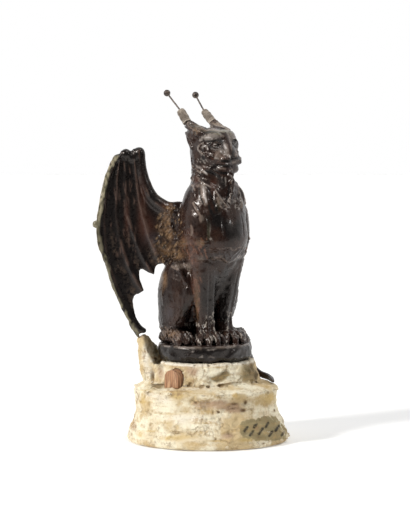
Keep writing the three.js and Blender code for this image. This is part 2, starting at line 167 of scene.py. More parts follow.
def smooth(points, t):
    """Points of the centripetal curve through points, at shares t of its stations."""
    ends = [2 * points[0] - points[1]], points, [2 * points[-1] - points[-2]]
    knots = np.vstack(ends)
    place = np.clip(t, 0, 1) * (len(points) - 1)
    first = np.minimum(place.astype(int), len(points) - 2)
    w = (place - first)[:, None]
    p0, p1, p2, p3 = (knots[first + k] for k in range(4))

    def gap(a, b):
        return np.sqrt(np.linalg.norm(b - a, axis=1))[:, None]

    none = 1e-4
    before, middle, after = gap(p0, p1), gap(p1, p2), gap(p2, p3)
    middle = np.where(middle < none, 1, middle)
    before, after = np.where(before < none, middle, before), np.where(after < none, middle, after)
    start = ((p1 - p0) / before - (p2 - p0) / (before + middle)) * middle + (p2 - p1)
    end = ((p3 - p2) / after - (p3 - p1) / (after + middle)) * middle + (p2 - p1)
    a = 2 * p1 - 2 * p2 + start + end
    b = -3 * p1 + 3 * p2 - 2 * start - end
    return ((a * w + b) * w + start) * w + p1


# Large odd numbers that mix the bits of a lattice point's three indices
MIXERS = (2378904131, 3625334849, 3407524639)


def lattice(ix, iy, iz, seed):
    """A steady random number from -1 to 1 for each lattice point."""
    mixed = np.uint32(seed * 2654435 + 17)
    for index, mixer in zip((ix, iy, iz), MIXERS):
        mixed = mixed ^ index.astype(np.uint32) * np.uint32(mixer)
    mixed ^= mixed >> np.uint32(13)
    mixed *= np.uint32(1540483477)
    mixed ^= mixed >> np.uint32(15)
    return mixed.astype(np.float32) / np.float32(2 ** 31) - 1


def cell_corners(share):
    """The corners of a cell, each with its weight for places at shares of the cell's sides."""
    for corner in range(8):
        step = [(corner >> k) & 1 for k in range(3)]
        weight = 1
        for s, one in zip(share, step):
            weight = weight * (s if one else 1 - s)
        yield step, weight


def noise(x, y, z, seed):
    """Smooth noise from -1 to 1 with one bump to a unit."""
    cell = [np.floor(v).astype(np.int64) for v in (x, y, z)]
    share = [(v - c).astype(np.float32) for v, c in zip((x, y, z), cell)]
    total = 0
    for step, weight in cell_corners([s * s * (3 - 2 * s) for s in share]):
        total = total + weight * lattice(*(c + one for c, one in zip(cell, step)), seed)
    return total


def soft_min(a, b, blend):
    """The smaller of two distances, rounded over blend millimetres."""
    if blend <= 0:
        return np.minimum(a, b)
    near = np.maximum(blend - np.abs(a - b), 0) / blend
    return np.minimum(a, b) - near * near * blend * 0.25


def ramp(value, start, end):
    """0 before start, 1 after end and smooth between them."""
    share = np.clip((value - start) / (end - start), 0, 1)
    return share * share * (3 - 2 * share)


def unit(vector):
    vector = np.array(vector, float)
    return vector / np.linalg.norm(vector)


def uneven(angle, seed, amount):
    """The wavy factor that makes the plaster's rings uneven."""
    total = 0
    for n, height in ((3, 0.5), (5, 0.3), (8, 0.25), (13, 0.15)):
        total = total + height * np.sin(n * angle + seed * (1 + 0.37 * n))
    return 1 + amount * total


def polygon_distance(s, z, corners):
    """Signed distance in a plane to a closed outline, negative inside."""
    best = np.full(s.shape, 1e6)
    odd = np.zeros(s.shape, bool)
    for (s0, z0), (s1, z1) in zip(corners, np.roll(corners, -1, axis=0)):
        run_s, run_z = s1 - s0, z1 - z0
        t = np.clip(((s - s0) * run_s + (z - z0) * run_z) / max(run_s ** 2 + run_z ** 2, 1e-9), 0, 1)
        best = np.minimum(best, (s - s0 - t * run_s) ** 2 + (z - z0 - t * run_z) ** 2)
        if z0 != z1:
            odd ^= ((z0 > z) != (z1 > z)) & (s < s0 + (z - z0) * run_s / run_z)
    return np.where(odd, -1, 1) * np.sqrt(best)


# Forms: each knows the box that it reaches with a margin, and the distance to its surface there.
# Only a limb needs the margin for its distances.

def dot(dx, dy, dz, axis):
    return dx * axis[0] + dy * axis[1] + dz * axis[2]


def oval_distance(u, v, w, a, b, c):
    """About how far a place is from an oval with half sizes a, b and c."""
    outer = np.sqrt((u / a) ** 2 + (v / b) ** 2 + (w / c) ** 2)
    slope = np.sqrt((u / a ** 2) ** 2 + (v / b ** 2) ** 2 + (w / c ** 2) ** 2)
    distance = outer * (outer - 1) / np.maximum(slope, 1e-6)
    return np.where(outer < 0.05, -np.minimum(a, b), distance)


class Limb:
    """Oval sections along a smooth path; a station is x, y, z, half across, half depth.

    Side -1 mirrors stations that are given for the figure's left side, where x is positive.
    """

    def __init__(self, stations, across=(1, 0, 0), pieces=3, side=1):
        rows = np.array([s if len(s) == 5 else (*s, s[3]) for s in stations], float)
        rows[:, 0] *= side
        t = np.linspace(0, 1, (len(rows) - 1) * pieces + 1)
        self.path = smooth(rows[:, :3], t)
        self.size = np.maximum(smooth(rows[:, 3:], t), THINNEST)
        self.across = np.array(across, float)

    def reach(self, margin):
        most = self.size.max() + margin
        return self.path.min(0) - most, self.path.max(0) + most

    def distance(self, x, y, z, margin):
        result = np.full(np.broadcast_shapes(x.shape, y.shape, z.shape), FAR, np.float32)
        for k in range(len(self.path) - 1):
            start, run = self.path[k], self.path[k + 1] - self.path[k]
            length = np.linalg.norm(run)
            if length < 1e-6:
                continue
            along = run / length
            side = unit(self.across - self.across.dot(along) * along)
            other = np.cross(along, side)
            most = self.size[k:k + 2].max() + margin
            low = np.minimum(start, start + run) - most
            high = np.maximum(start, start + run) + most
            cut = tuple(slice(*np.searchsorted(axis.ravel(), (low[i], high[i])))
                        for i, axis in enumerate((x, y, z)))
            dx, dy, dz = x[cut[0]] - start[0], y[:, cut[1]] - start[1], z[:, :, cut[2]] - start[2]
            if 0 in (dx.size, dy.size, dz.size):
                continue
            far = dot(dx, dy, dz, along)
            t = np.clip(far / length, 0, 1)
            a, b = (first + t * (last - first) for first, last in zip(self.size[k], self.size[k + 1]))
            oval = oval_distance(dot(dx, dy, dz, side), dot(dx, dy, dz, other), far - t * length,
                                 a, b, np.minimum(a, b))
            result[cut] = np.minimum(result[cut], oval)
        return result


class Egg:
    """An egg-shaped lump, turned about X and then about Z, in degrees."""

    def __init__(self, centre, radii, tilt=0, turn=0):
        self.centre = np.array(centre, float)
        self.radii = radii if np.ndim(radii) else (radii,) * 3
        ct, st = math.cos(math.radians(tilt)), math.sin(math.radians(tilt))
        cz, sz = math.cos(math.radians(turn)), math.sin(math.radians(turn))
        tilted = np.array(((1, 0, 0), (0, ct, -st), (0, st, ct)))
        turned = np.array(((cz, -sz, 0), (sz, cz, 0), (0, 0, 1)))
        self.axes = (turned @ tilted).T

    def reach(self, margin):
        most = max(self.radii) + margin
        return self.centre - most, self.centre + most

    def distance(self, x, y, z, margin):
        dx, dy, dz = x - self.centre[0], y - self.centre[1], z - self.centre[2]
        u, v, w = (dot(dx, dy, dz, axis) for axis in self.axes)
        return oval_distance(u, v, w, *self.radii).astype(np.float32)


class Formula:
    """A form given by its lowest and highest corner and a distance function."""

    def __init__(self, low, high, function):
        self.low = np.array(low, float)
        self.high = np.array(high, float)
        self.function = function

    def reach(self, margin):
        return self.low - margin, self.high + margin

    def distance(self, x, y, z, margin):
        return self.function(x, y, z)


class Clay:
    """Distances to a piece's surface on a regular grid, in millimetres."""

    def __init__(self, low, high, step):
        self.step = step
        self.low = np.array(low, float) - 3 * step
        count = np.ceil((np.array(high) + 3 * step - self.low) / step).astype(int) + 1
        self.field = np.full(count, FAR, np.float32)

    def window(self, low, high):
        first = np.maximum(np.floor((low - self.low) / self.step).astype(int), 0)
        last = np.ceil((high - self.low) / self.step).astype(int) + 1
        last = np.maximum(np.minimum(last, self.field.shape), first)
        cut = tuple(slice(a, b) for a, b in zip(first, last))
        axes = []
        for k in range(3):
            axis = self.low[k] + self.step * np.arange(first[k], last[k])
            axes.append(axis.astype(np.float32).reshape([-1 if i == k else 1 for i in range(3)]))
        return cut, axes

    def add(self, form, blend, sign=1):
        margin = blend + 2 * self.step
        cut, axes = self.window(*form.reach(margin))
        if self.field[cut].size:
            near = form.distance(*axes, margin)
            self.field[cut] = sign * soft_min(sign * self.field[cut], near, blend)

    def carve(self, form, blend):
        self.add(form, blend, sign=-1)

    def brush(self, strength, low=None, high=None, reach=1.0):
        """Moves the surface out by strength(x, y, z) millimetres, near it."""
        if low is None:
            low, high = self.low, self.low + self.step * np.array(self.field.shape)
        cut, axes = self.window(np.array(low, float), np.array(high, float))
        part = self.field[cut]
        near = np.nonzero(np.abs(part) < reach)
        x, y, z = (axis.ravel()[index] for axis, index in zip(axes, near))
        part[near] -= strength(x, y, z).astype(np.float32)

    def sample(self, points):
        """The field at points, an array of rows."""
        place = np.clip((points - self.low) / self.step, 0, np.array(self.field.shape) - INSIDE_LAST)
        first = place.astype(int)
        total = 0
        for step, weight in cell_corners((place - first).T):
            total = total + weight * self.field[tuple((first + step).T)]
        return total

    def surface(self):
        """Points and quads of the zero surface, one point in each cell that it crosses."""
        just_outside = 0.01
        for axis in range(3):
            layers = np.moveaxis(self.field, axis, 0)
            layers[[0, -1]] = np.maximum(layers[[0, -1]], just_outside)
        inside = self.field < 0
        corners = [tuple(slice(s, s + n - 1) for s, n in zip(shift, inside.shape))
                   for shift in np.ndindex(2, 2, 2)]
        count = sum(inside[c].astype(np.uint8) for c in corners)
        active = (count > 0) & (count < 8)
        cells = np.argwhere(active)
        index = np.full(active.shape, -1, np.int32)
        index[active] = np.arange(len(cells))
        total = np.zeros((len(cells), 3))
        hits = np.zeros(len(cells))
        for a in np.ndindex(2, 2, 2):
            for axis in range(3):
                if a[axis]:
                    continue
                b = tuple(1 if k == axis else a[k] for k in range(3))
                fa = self.field[tuple((cells + a).T)]
                fb = self.field[tuple((cells + b).T)]
                crossed = (fa < 0) != (fb < 0)
                t = np.where(crossed, fa / np.where(crossed, fa - fb, 1), 0)
                point = np.array(a, float) + t[:, None] * (np.array(b) - a)
                total += point * crossed[:, None]
                hits += crossed
        points = self.low + self.step * (cells + total / hits[:, None])
        quads = []
        for axis in range(3):
            u, v = (axis + 1) % 3, (axis + 2) % 3
            here = np.moveaxis(inside, axis, 0)
            leaving = np.moveaxis(here[:-1] & ~here[1:], 0, axis)
            entering = np.moveaxis(~here[:-1] & here[1:], 0, axis)
            for edges, turn in ((leaving, 1), (entering, -1)):
                at = np.argwhere(edges)
                ring = []
                for du, dv in ((-1, -1), (0, -1), (0, 0), (-1, 0))[::turn]:
                    cell = at.copy()
                    cell[:, u] += du
                    cell[:, v] += dv
                    ring.append(index[tuple(cell.T)])
                quads.append(np.stack(ring, 1))
        return points, np.vstack(quads)


# Meshes from clay

def mesh_object(name, points, quads):
    """An object whose mesh has the given points and quads."""
    mesh = bpy.data.meshes.new(name)
    mesh.vertices.add(len(points))
    mesh.vertices.foreach_set("co", points.astype(np.float32).ravel())
    mesh.loops.add(quads.size)
    mesh.loops.foreach_set("vertex_index", quads.astype(np.int32).ravel())
    mesh.polygons.add(len(quads))
    mesh.polygons.foreach_set("loop_start", np.arange(0, quads.size, 4, dtype=np.int32))
    mesh.update(calc_edges=True)
    mesh.validate()
    return place_object(name, mesh)


def drop_crumbs(mesh):
    """Takes away whatever hangs free of the largest connected surface."""
    ends = np.zeros(len(mesh.edges) * 2, np.int32)
    mesh.edges.foreach_get("vertices", ends)
    first, second = ends.reshape(-1, 2).T
    label = np.arange(len(mesh.vertices))
    while True:
        lower = label.copy()
        np.minimum.at(lower, first, label[second])
        np.minimum.at(lower, second, label[first])
        lower = lower[lower]
        if np.array_equal(lower, label):
            break
        label = lower
    loose = label != np.bincount(label).argmax()
    if loose.any():
        form = bmesh.new()
        form.from_mesh(mesh)
        crumbs = [vertex for vertex, gone in zip(form.verts, loose) if gone]
        bmesh.ops.delete(form, geom=crumbs, context="VERTS")
        form.to_mesh(mesh)
        form.free()


def fire(name, clay, triangles, relief=1.0, box=CAD_BOX):
    """Turns clay into a smooth-shaded object within a box and a triangle budget."""
    points, quads = clay.surface()
    piece = mesh_object(name, np.clip((points + (0, 0, LIFT)) * MM, *box), quads)
    if 2 * len(quads) > triangles:
        thin = piece.modifiers.new("thin", "DECIMATE")
        thin.ratio = triangles / (2 * len(quads))
        bpy.context.view_layer.update()
        graph = bpy.context.evaluated_depsgraph_get()
        thinned = bpy.data.meshes.new_from_object(piece.evaluated_get(graph))
        thinned.validate()
        piece.modifiers.clear()
        piece.data = thinned
    drop_crumbs(piece.data)
    piece.data.polygons.foreach_set("use_smooth", np.ones(len(piece.data.polygons), bool))
    piece.data.materials.clear()
    mark_relief(piece, clay, relief)
    return piece


def vertex_rows(piece):
    """Vertex places in millimetres, in the clay's own heights, and vertex normals."""
    count = len(piece.data.vertices)
    places = np.zeros(count * 3, np.float32)
    normals = np.zeros(count * 3, np.float32)
    piece.data.vertices.foreach_get("co", places)
    piece.data.vertex_normals.foreach_get("vector", normals)
    return places.reshape(-1, 3) / MM - (0, 0, LIFT), normals.reshape(-1, 3)


def mark(piece, name, values):
    layer = piece.data.attributes.new(name, "FLOAT", "POINT")
    layer.data.foreach_set("value", np.clip(values, 0, 1).astype(np.float32))


def mark_relief(piece, clay, scale):
    """Marks hollows and proud edges, read from the clay around each vertex."""
    places, normals = vertex_rows(piece)
    for name, sign, steps in (("hollow", 1, (1.2, 2.5, 5)), ("edge", -1, (1.0, 2.0))):
        total = 0
        for step in steps:
            away = sign * step * scale
            total = total + np.clip(1 - clay.sample(places + normals * away) / away, 0, 1) / len(steps)
        mark(piece, name, total)


# Drawing on the clay from the photograph's side; spots are places in the picture, in pixels

def in_picture(places):
    """Where points show in the picture."""
    away = places - VIEWER
    depth = away @ VIEW_FORWARD
    x = PICTURE_MIDDLE[0] + FOCAL_PIXELS * (away @ VIEW_RIGHT) / depth
    y = PICTURE_MIDDLE[1] - FOCAL_PIXELS * (away @ VIEW_UP) / depth
    return x, y


def seen(clay, spots):
    """The clay's surface points behind spots of the picture; misses are left out."""
    spots = np.array(spots, float)
    rays = (VIEW_FORWARD * FOCAL_PIXELS + np.outer(spots[:, 0] - PICTURE_MIDDLE[0], VIEW_RIGHT)
            - np.outer(spots[:, 1] - PICTURE_MIDDLE[1], VIEW_UP))
    rays /= np.linalg.norm(rays, axis=1)[:, None]
    reach = np.arange(RAY_START, RAY_END, RAY_STEP)
    points = VIEWER + rays[:, None, :] * reach[:, None]
    field = clay.sample(points.reshape(-1, 3)).reshape(len(spots), len(reach))
    hit = (field < 0).argmax(1)
    rows = np.nonzero(hit > 0)[0]
    near, far = field[rows, hit[rows] - 1], field[rows, hit[rows]]
    t = reach[hit[rows] - 1] + RAY_STEP * near / (near - far)
    return VIEWER + rays[rows] * t[:, None]


def turned(x, y, z):
    """A place of the head, which looks a little to the figure's left."""
    x, y = x - HEAD_MIDDLE[0], y - HEAD_MIDDLE[1]
    return (HEAD_MIDDLE[0] + x * math.cos(HEAD_TURN) - y * math.sin(HEAD_TURN),
            HEAD_MIDDLE[1] + x * math.sin(HEAD_TURN) + y * math.cos(HEAD_TURN), z)


def across_head(points):
    """The mirror image of places on the head."""
    normal = np.array((math.cos(HEAD_TURN), math.sin(HEAD_TURN), 0))
    return points - 2 * ((points - HEAD_MIDDLE) @ normal)[..., None] * normal


def both_places(points, sides, head):
    """Places on the near side, and their mirror images on the far side."""
    for side in sides:
        if side < 0:
            yield side, points
        else:
            yield side, across_head(points) if head else points * (-1, 1, 1)


def outward_at(clay, points):
    """Unit vectors that point out of the clay."""
    probe = 0.8
    slopes = [clay.sample(points + axis) - clay.sample(points - axis) for axis in np.eye(3) * probe]
    slopes = np.stack(slopes, 1)
    return slopes / np.maximum(np.linalg.norm(slopes, axis=1)[:, None], 1e-6)


# Length of a stroke's pieces in pixels, and the way that its sections lie
STROKE_PIXELS = 1.4
STROKE_ACROSS = (0.3, 0.2, 0.93)


def stroke(clay, spots, radius, lift=0.2, blend=0.5, carve=False, sides=BOTH, ends=0.45, head=False):
    """A ridge or groove drawn on the surface, and its mirror image on the far side."""
    spots = np.array(spots, float)
    length = np.linalg.norm(np.diff(spots, axis=0), axis=1).sum()
    count = max(3, int(length / STROKE_PIXELS) + 1)
    points = seen(clay, smooth(spots, np.linspace(0, 1, count)))
    if len(points) < 2:
        return
    points = points + outward_at(clay, points) * lift
    points[1:-1] = (points[:-2] + 2 * points[1:-1] + points[2:]) / 4
    share = np.linspace(0, 1, len(points))
    radii = radius * (ends + (1 - ends) * np.sin(math.pi * share) ** 0.6)
    shape = clay.carve if carve else clay.add
    for _, places in both_places(points, sides, head):
        shape(Limb(np.column_stack((places, radii)), across=STROKE_ACROSS, pieces=1), blend)


def dab(clay, spot, radii, lift=0.0, blend=0.5, carve=False, sides=BOTH, turn=0, head=False):
    """A lump or a dent at a spot of the picture, turned about the upright."""
    points = seen(clay, [spot])
    if not len(points):
        return
    shape = clay.carve if carve else clay.add
    for side, places in both_places(points + outward_at(clay, points) * lift, sides, head):
        shape(Egg(places[0], radii, turn=turn * side), blend)


def zone_mask(x, y, z, corners, fade=1.5):
    """1 inside a polygon of picture spots, drawn on the near side and mirrored to the far one."""
    across, down = in_picture(np.column_stack((-np.abs(x), y, z)))
    return ramp(-polygon_distance(across, down, np.array(corners, float)), -fade / 2, fade)


# Figure: trunk and legs

def trunk(clay):
    """Haunches, belly, chest and neck."""
    clay.add(Limb([
        (0, 20, 76, 14, 13),
        (0, 19, 86, 20, 17),
        (0, 16, 100, 21.5, 20),
        (0, 11, 116, 20.5, 21.5),
        (0, 4, 132, 20.5, 23.5),
        (0, -3, 146, 22, 25.5),
        (0, -5.5, 158, 23.5, 26),
        (0, -6, 168, 25, 24.4),
        (0, -6, 177, 23.4, 21),
        (0, -6, 185, 17.6, 18),
        (0, -5.5, 194, 15.4, 16.6),
        (0, -5, 205, 15.2, 16.4),
        (0, -4, 216, 13, 14),
    ]), 0)
    clay.add(Egg((0, -15, 152), (21.5, 17.5, 17.5), tilt=12), 5)


def front_leg(clay, side):
    """Shoulder, straight leg and paw."""
    clay.add(Limb([
        (17.5, -7, 172, 5, 6),
        (18.4, -8.5, 166, 9, 13),
        (17.2, -9.5, 152, 9.8, 14),
        (14, -9.5, 136, 9.6, 11.5),
        (11.8, -9.2, 120, 8.8, 9),
        (10.1, -8.4, 105, 7.2, 7.4),
        (8.6, -7.6, 91, 6.1, 6.4),
        (8.7, -8.2, 80, 6.9, 7.4),
        (9.2, -10, 70, 8, 8.5),
    ], side=side), 3.5)
    # Sinews down the front of the leg
    for across, forward, radius in ((-2.4, -5.6, 1.5), (3, -4.8, 1.3)):
        clay.add(Limb([
            (10.8 + across, -9.4 + forward * 1.25, 122, radius),
            (10 + across, -8.4 + forward * 1.12, 106, radius * 1.1),
            (8.6 + across * 0.8, -7.6 + forward * 1.02, 92, radius),
            (8.8 + across, -8.6 + forward * 1.05, 82, radius),
        ], side=side), 2)
    paw(clay, 9.4 * side, -10, 8.6, 12, side * 12, 4)


def paw(clay, x, y, width, reach, turn, toes):
    """Spread toes with knuckles and claws, fanned out from the ankle."""
    clay.add(Egg((x, y - 1, SLAB_TOP_Z + 3.5), (width, width, 6.2)), 2.5)
    for k in range(toes):
        fan = math.radians(turn - 90 + (k - (toes - 1) / 2) * 33)
        out = np.array((math.cos(fan), math.sin(fan)))
        beside = (-out[1], out[0], 0)

        def at(part, height):
            return (x + part * reach * out[0], y + part * reach * out[1], SLAB_TOP_Z + height)

        clay.add(Limb([
            (*at(0.3, 7.6), 2),
            (*at(0.72, 6.8), 2.9, 2.7),
            (*at(1, 3.9), 2.7, 2.6),
            (*at(1.08, 1.2), 2.2, 2),
        ], across=beside), 0.9)
        clay.add(Egg(at(0.74, 7.6), 2.3), 0.7)
        clay.add(Limb([
            (*at(1.02, 3.4), 1.2),
            (*at(1.2, 2.2), 1),
            (*at(1.26, 0.2), 0.4),
        ], across=beside), 0.25)
        for lift in (0.5, 0.86):
            clay.carve(Limb([
                (*at(lift, 9.9 - 3.4 * lift), 0.5),
                (*at(lift + 0.13, 9 - 3.8 * lift), 0.3),
            ], across=beside), 0.4)


def hind_leg(clay, side):
    """Haunch, folded shin, foot and paw."""
    clay.add(Limb([
        (15, 20, 74, 5, 7),
        (19.4, 18.5, 84, 8.6, 12.5),
        (20.8, 15, 97, 9.8, 14.8),
        (21, 13.5, 110, 9.8, 17),
        (20.8, 11.5, 120, 9.2, 15.5),
        (20.2, 9.5, 128, 7.6, 12),
        (19.6, 8.5, 133, 3, 5),
    ], side=side), 2)
    clay.add(Limb([
        (20, -3, 120, 4, 4),
        (20.6, -3.5, 110, 5, 5),
        (22.5, 8, 90, 4.8, 5.6),
        (24, 17, 77, 4.6, 5.4),
    ], side=side), 1.4)
    clay.add(Limb([
        (24.5, 22, 76.5, 4.5, 4),
        (25, 13, 77, 5.4, 5),
        (25, 2, 76.5, 5.6, 4.6),
    ], side=side), 1.6)
    paw(clay, 24.6 * side, 2.5, 6, 9.5, side * 8, 3)
    # Scale-like cap over the top of the haunch, and folds where the foot leaves the leg
    clay.add(Limb([
        (24.5, -4.5, 119, 1),
        (26.4, 0, 127, 1.5),
        (24.6, 9, 132, 1.6),
        (25.2, 16, 128, 1.1),
        (26, 21, 121, 0.5),
    ], side=side), 2.2)
    for k in range(5):
        clay.carve(Limb([
            (29.6 - 0.2 * k, 4 + 3.6 * k, 76 + 0.4 * k, 0.5),
            (29.2 - 0.7 * k, 7 + 3.6 * k, 80 + 0.8 * k, 0.6),
            (27.4 - 1.1 * k, 9 + 3.4 * k, 84 + 1.2 * k, 0.4),
        ], side=side), 0.5)


# Figure: head

# How far the far brow stands out more than the near one in the picture, in millimetres
FAR_BROW = 1.4


def skull(clay):
    """The head's large forms, from the brows down to the chin."""
    clay.add(Egg((0, -4, 217), (15.2, 17.5, 16.6)), 3)
    for side in BOTH:
        far = FAR_BROW if side > 0 else 0
        clay.add(Egg(turned(8.8 * side, -12, 212), (6, 8.2, 8.5), tilt=-20), 2)
        clay.add(Egg(turned(7 * side, -18.6, EYE_Z - 8), (5.6, 5, 7.2)), 2)
        clay.add(Egg(turned(7 * side, -10.8, EYE_Z + 5.6), (7.4, 8.8, 5.2), tilt=-6), 2.6)
        clay.add(Egg(turned((9 + far) * side, -9.6 - 0.5 * far, EYE_Z + 4.6), (5.6, 7.4, 4.8)), 2)
        clay.add(Egg(turned((8.2 + far) * side, -15, EYE_Z - 1.4 + 0.8 * far), (5.7, 6.8, 6)), 2)
        clay.carve(Egg(turned(9.6 * side, -22.6, EYE_Z - 0.2), (5, 2.4, 2.6), turn=36 * side), 1.4)
        clay.add(Egg(turned(5.1 * side, -22.6, EYE_Z - 11.6), (5.3, 5.8, 4.5), turn=14 * side), 2)
    clay.add(Limb([
        (*turned(0, -15.6, EYE_Z + 7), 4.6, 3.2),
        (*turned(0, -18.6, EYE_Z + 1), 4.6, 3.8),
        (*turned(0, -21.8, EYE_Z - 5), 5.4, 4.3),
        (*turned(0, -24.4, EYE_Z - 9.6), 5.6, 4),
        (*turned(0, -24.6, EYE_Z - 12.6), 4.6, 3.2),
    ]), 2.4)
    clay.add(Egg(turned(0, -19.4, 204.4), (8.8, 8, 5.2), tilt=-8), 1.8)
    clay.add(Egg(turned(0.8, -22.8, 202.6), (7.2, 4, 3.4)), 1.8)


# Ridges, grooves and lumps of the head, with picture spots in pixels and sizes in millimetres
BROW_EDGE = [(198.6, 143.4), (203, 141.6), (208, 142.2), (212, 141.4), (217, 140.4), (221.5, 140.2),
             (223.8, 138.6)]
FOREHEAD_LINES = (
    ([(200, 139), (202.4, 134.6), (207, 131.8), (213, 131), (219, 132.4), (222.6, 135)], 0.5),
    ([(203.4, 137.6), (208, 135.4), (213, 135), (218, 136)], 0.35),
)
EYE_SPOT = (216.2, 145)
PUPIL_SPOT = (218, 145)
UPPER_LID = [(210, 144.9), (212.8, 142.9), (216.6, 142.1), (220, 142.6), (222.4, 144.4)]
LOWER_LID = [(210.2, 145.2), (213.2, 147.2), (217, 147.9), (220.4, 147), (222.5, 145)]
UNDER_LID = [(209.8, 148.4), (213.6, 150.3), (218.2, 150.2)]
NOSE_SIDE = [(223.6, 144.6), (225.4, 147.4), (227, 150.4), (228.2, 153.4)]
CHEEK_RIM = [(203.6, 142.9), (199.6, 144.8), (198, 148.6), (199.8, 152), (203.2, 154)]
CHEEK_DISC = (204, 148)
WHISKER_LINES = (
    [(215.6, 155), (219.4, 156.4), (223.4, 156.6)],
    [(215.4, 157.8), (219.2, 159.2), (223, 159.4)],
    [(216.2, 160.6), (219.6, 161.8), (223, 162)],
)
PAD_LUMPS = (((220.6, 152), 1), ((225.2, 153), 1.2), ((229.4, 156.6), 1), ((216.4, 157), 1),
             ((224, 158), 0.9))
PAD_EDGE = [(218.8, 151.2), (215.4, 154.2), (213.9, 158), (214, 161.6), (214.6, 164)]
NOSE_WING = [(227.6, 155.4), (228.8, 158.8), (231.4, 160)]
NOSTRIL_SPOT = (231.4, 158.6)
PHILTRUM = [(231.8, 159.4), (231.5, 163.6)]
LIP_UPPER = [(215, 162.8), (219, 163.8), (223.6, 163.4), (228, 162.8), (231.4, 163)]
MOUTH = [(213.6, 164.6), (217, 165.8), (222.6, 165.7), (227.4, 165.3), (231.4, 165.7)]
LIP_LOWER = [(217, 168.2), (220.6, 168.9), (225, 168.9), (229.6, 168.6)]
CHIN_GROOVE = [(216.4, 170.6), (219.4, 172.4), (224, 173.2), (228, 172.8)]
JAW_EDGE = [(203.6, 168), (208.6, 168.6), (213.6, 170.2), (217.2, 172.6), (221.2, 175.4)]
JAW_SHADE = [(206.6, 171.4), (211, 172.2), (215, 174.4), (219, 177)]
NECK_FOLDS = (
    [(191.6, 157), (191.6, 162), (194, 166.2), (199, 169.4), (204, 172), (207.8, 174.6)],
    [(191.4, 163), (193.6, 168), (198.6, 171.8), (203, 174)],
    [(191.8, 169), (195, 173.4), (199.6, 176.4)],
)


def strewn(random, corners, tries):
    """Random spots of the picture, those that fall inside a polygon of picture spots."""
    corners = np.array(corners, float)
    spots = random.uniform(corners.min(0), corners.max(0), (tries, 2))
    return spots[polygon_distance(*spots.T, corners) < 0]


def scatter(clay, random, corners, count, radius, lift=0.1):
    """Small round curls strewn over a polygon of the picture."""
    points = seen(clay, strewn(random, corners, 4 * count)[:count])
    for x, y, z in points + outward_at(clay, points) * lift:
        size = radius * random.uniform(0.75, 1.25)
        for side in BOTH:
            clay.add(Egg((-side * x, y, z), (size, size, size * 0.85)), 0.25)


def face(clay):
    """The features that the picture shows on the head's near side, on both sides."""
    ridge = partial(stroke, clay, head=True)
    groove = partial(stroke, clay, carve=True, head=True)
    lump = partial(dab, clay, head=True)
    dent = partial(dab, clay, carve=True, head=True)
    groove(BROW_EDGE, 0.75, 0.15, 0.7)
    for line, radius in FOREHEAD_LINES:
        groove(line, radius, 0.15, 0.6)
    lump(EYE_SPOT, (4.1, 2.5, 2.3), -1.9, 0.15, turn=38)
    ridge(UPPER_LID, 0.62, 0.28, 0.3, ends=0.6)
    ridge(LOWER_LID, 0.55, 0.2, 0.3, ends=0.6)
    dent(PUPIL_SPOT, (0.75, 0.75, 0.75), 0.35, 0.2)
    groove(UNDER_LID, 0.55, 0.15, 0.5)
    ridge(NOSE_SIDE, 1.3, -0.7, 1.4)
    clay.add(Egg(turned(0, -26.4, EYE_Z - 10.2), (4.2, 2.6, 2.4)), 1.2)
    ridge(CHEEK_RIM, 0.85, 0.05, 0.7)
    lump(CHEEK_DISC, (2.4, 2.2, 2.7), -1.5, 0.9)
    groove(PAD_EDGE, 0.7, 0.2, 0.8)
    for spot, radius in PAD_LUMPS:
        lump(spot, (radius,) * 3, -0.45, 0.6)
    for line in WHISKER_LINES:
        groove(line, 0.4, 0.15, 0.3)
    groove(NOSE_WING, 0.5, 0.15, 0.4)
    dent(NOSTRIL_SPOT, (0.8, 0.8, 0.7), 0.2, 0.3)
    ridge(LIP_UPPER, 1.0, -0.4, 0.7)
    groove(MOUTH, 0.75, 0.1, 0.4, ends=0.7)
    ridge(LIP_LOWER, 1.2, -0.5, 0.9)
    groove(CHIN_GROOVE, 0.6, 0.15, 0.6)
    groove(PHILTRUM, 0.45, 0.1, 0.4, sides=NEAR_SIDE)
    groove(JAW_SHADE, 1.1, 0.4, 1.2)
    ridge(JAW_EDGE, 1.0, -0.2, 1)
    for fold in NECK_FOLDS:
        ridge(fold, 0.75, 0.1, 0.6)


HORN_RIDGES = 8


def horn(clay, side):
    """The ridged stump that the sleeve covers, and the ear that sweeps back below it."""
    stump = [
        (10.4 * side, -12, 227, 4, 3.6),
        (10.6 * side, -6, 229.6, 5.2, 4.4),
        (11.2 * side, 0.5, 231.8, 4.6, 4),
        (11.9 * side, 6, 235, 3.6, 3.3),
        (HORN_END[0] * side, HORN_END[1], HORN_END[2], 3.2, 3),
    ]
    clay.add(Limb(stump), 1.6)
    for k in range(HORN_RIDGES):
        ridge = []
        for row, (x, y, z, a, b) in enumerate(stump):
            angle = 2 * math.pi * k / HORN_RIDGES + 0.45 * row
            ridge.append((x + a * 0.95 * math.cos(angle), y - b * 0.5 * math.sin(angle),
                          z + b * 0.85 * math.sin(angle), 0.75))
        clay.add(Limb(ridge), 0.4)
    tip = (13.4, 9.8, 229.8, 0.5)
    upper_rim = [(12.4, 0, 224.6, 3.4, 2.4), (13.4, 5, 227.6, 2.6, 1.6), tip]
    lower_rim = [(14.8, 0.6, 218.6, 1.4), (14.4, 4.6, 223.6, 1.4), tip]
    temple = [(11.8, -2, 227.4, 3.2), (12.4, 4, 229, 2.6), (12.4, 8, 230.4, 1.2)]
    for stations, blend in ((upper_rim, 1), (lower_rim, 1.4), (temple, 1.2)):
        clay.add(Limb(stations, side=side), blend)
    clay.carve(Limb([(16.2, 2.4, 222.6, 0.9), (15.6, 5.6, 226, 0.6)], side=side), 0.8)


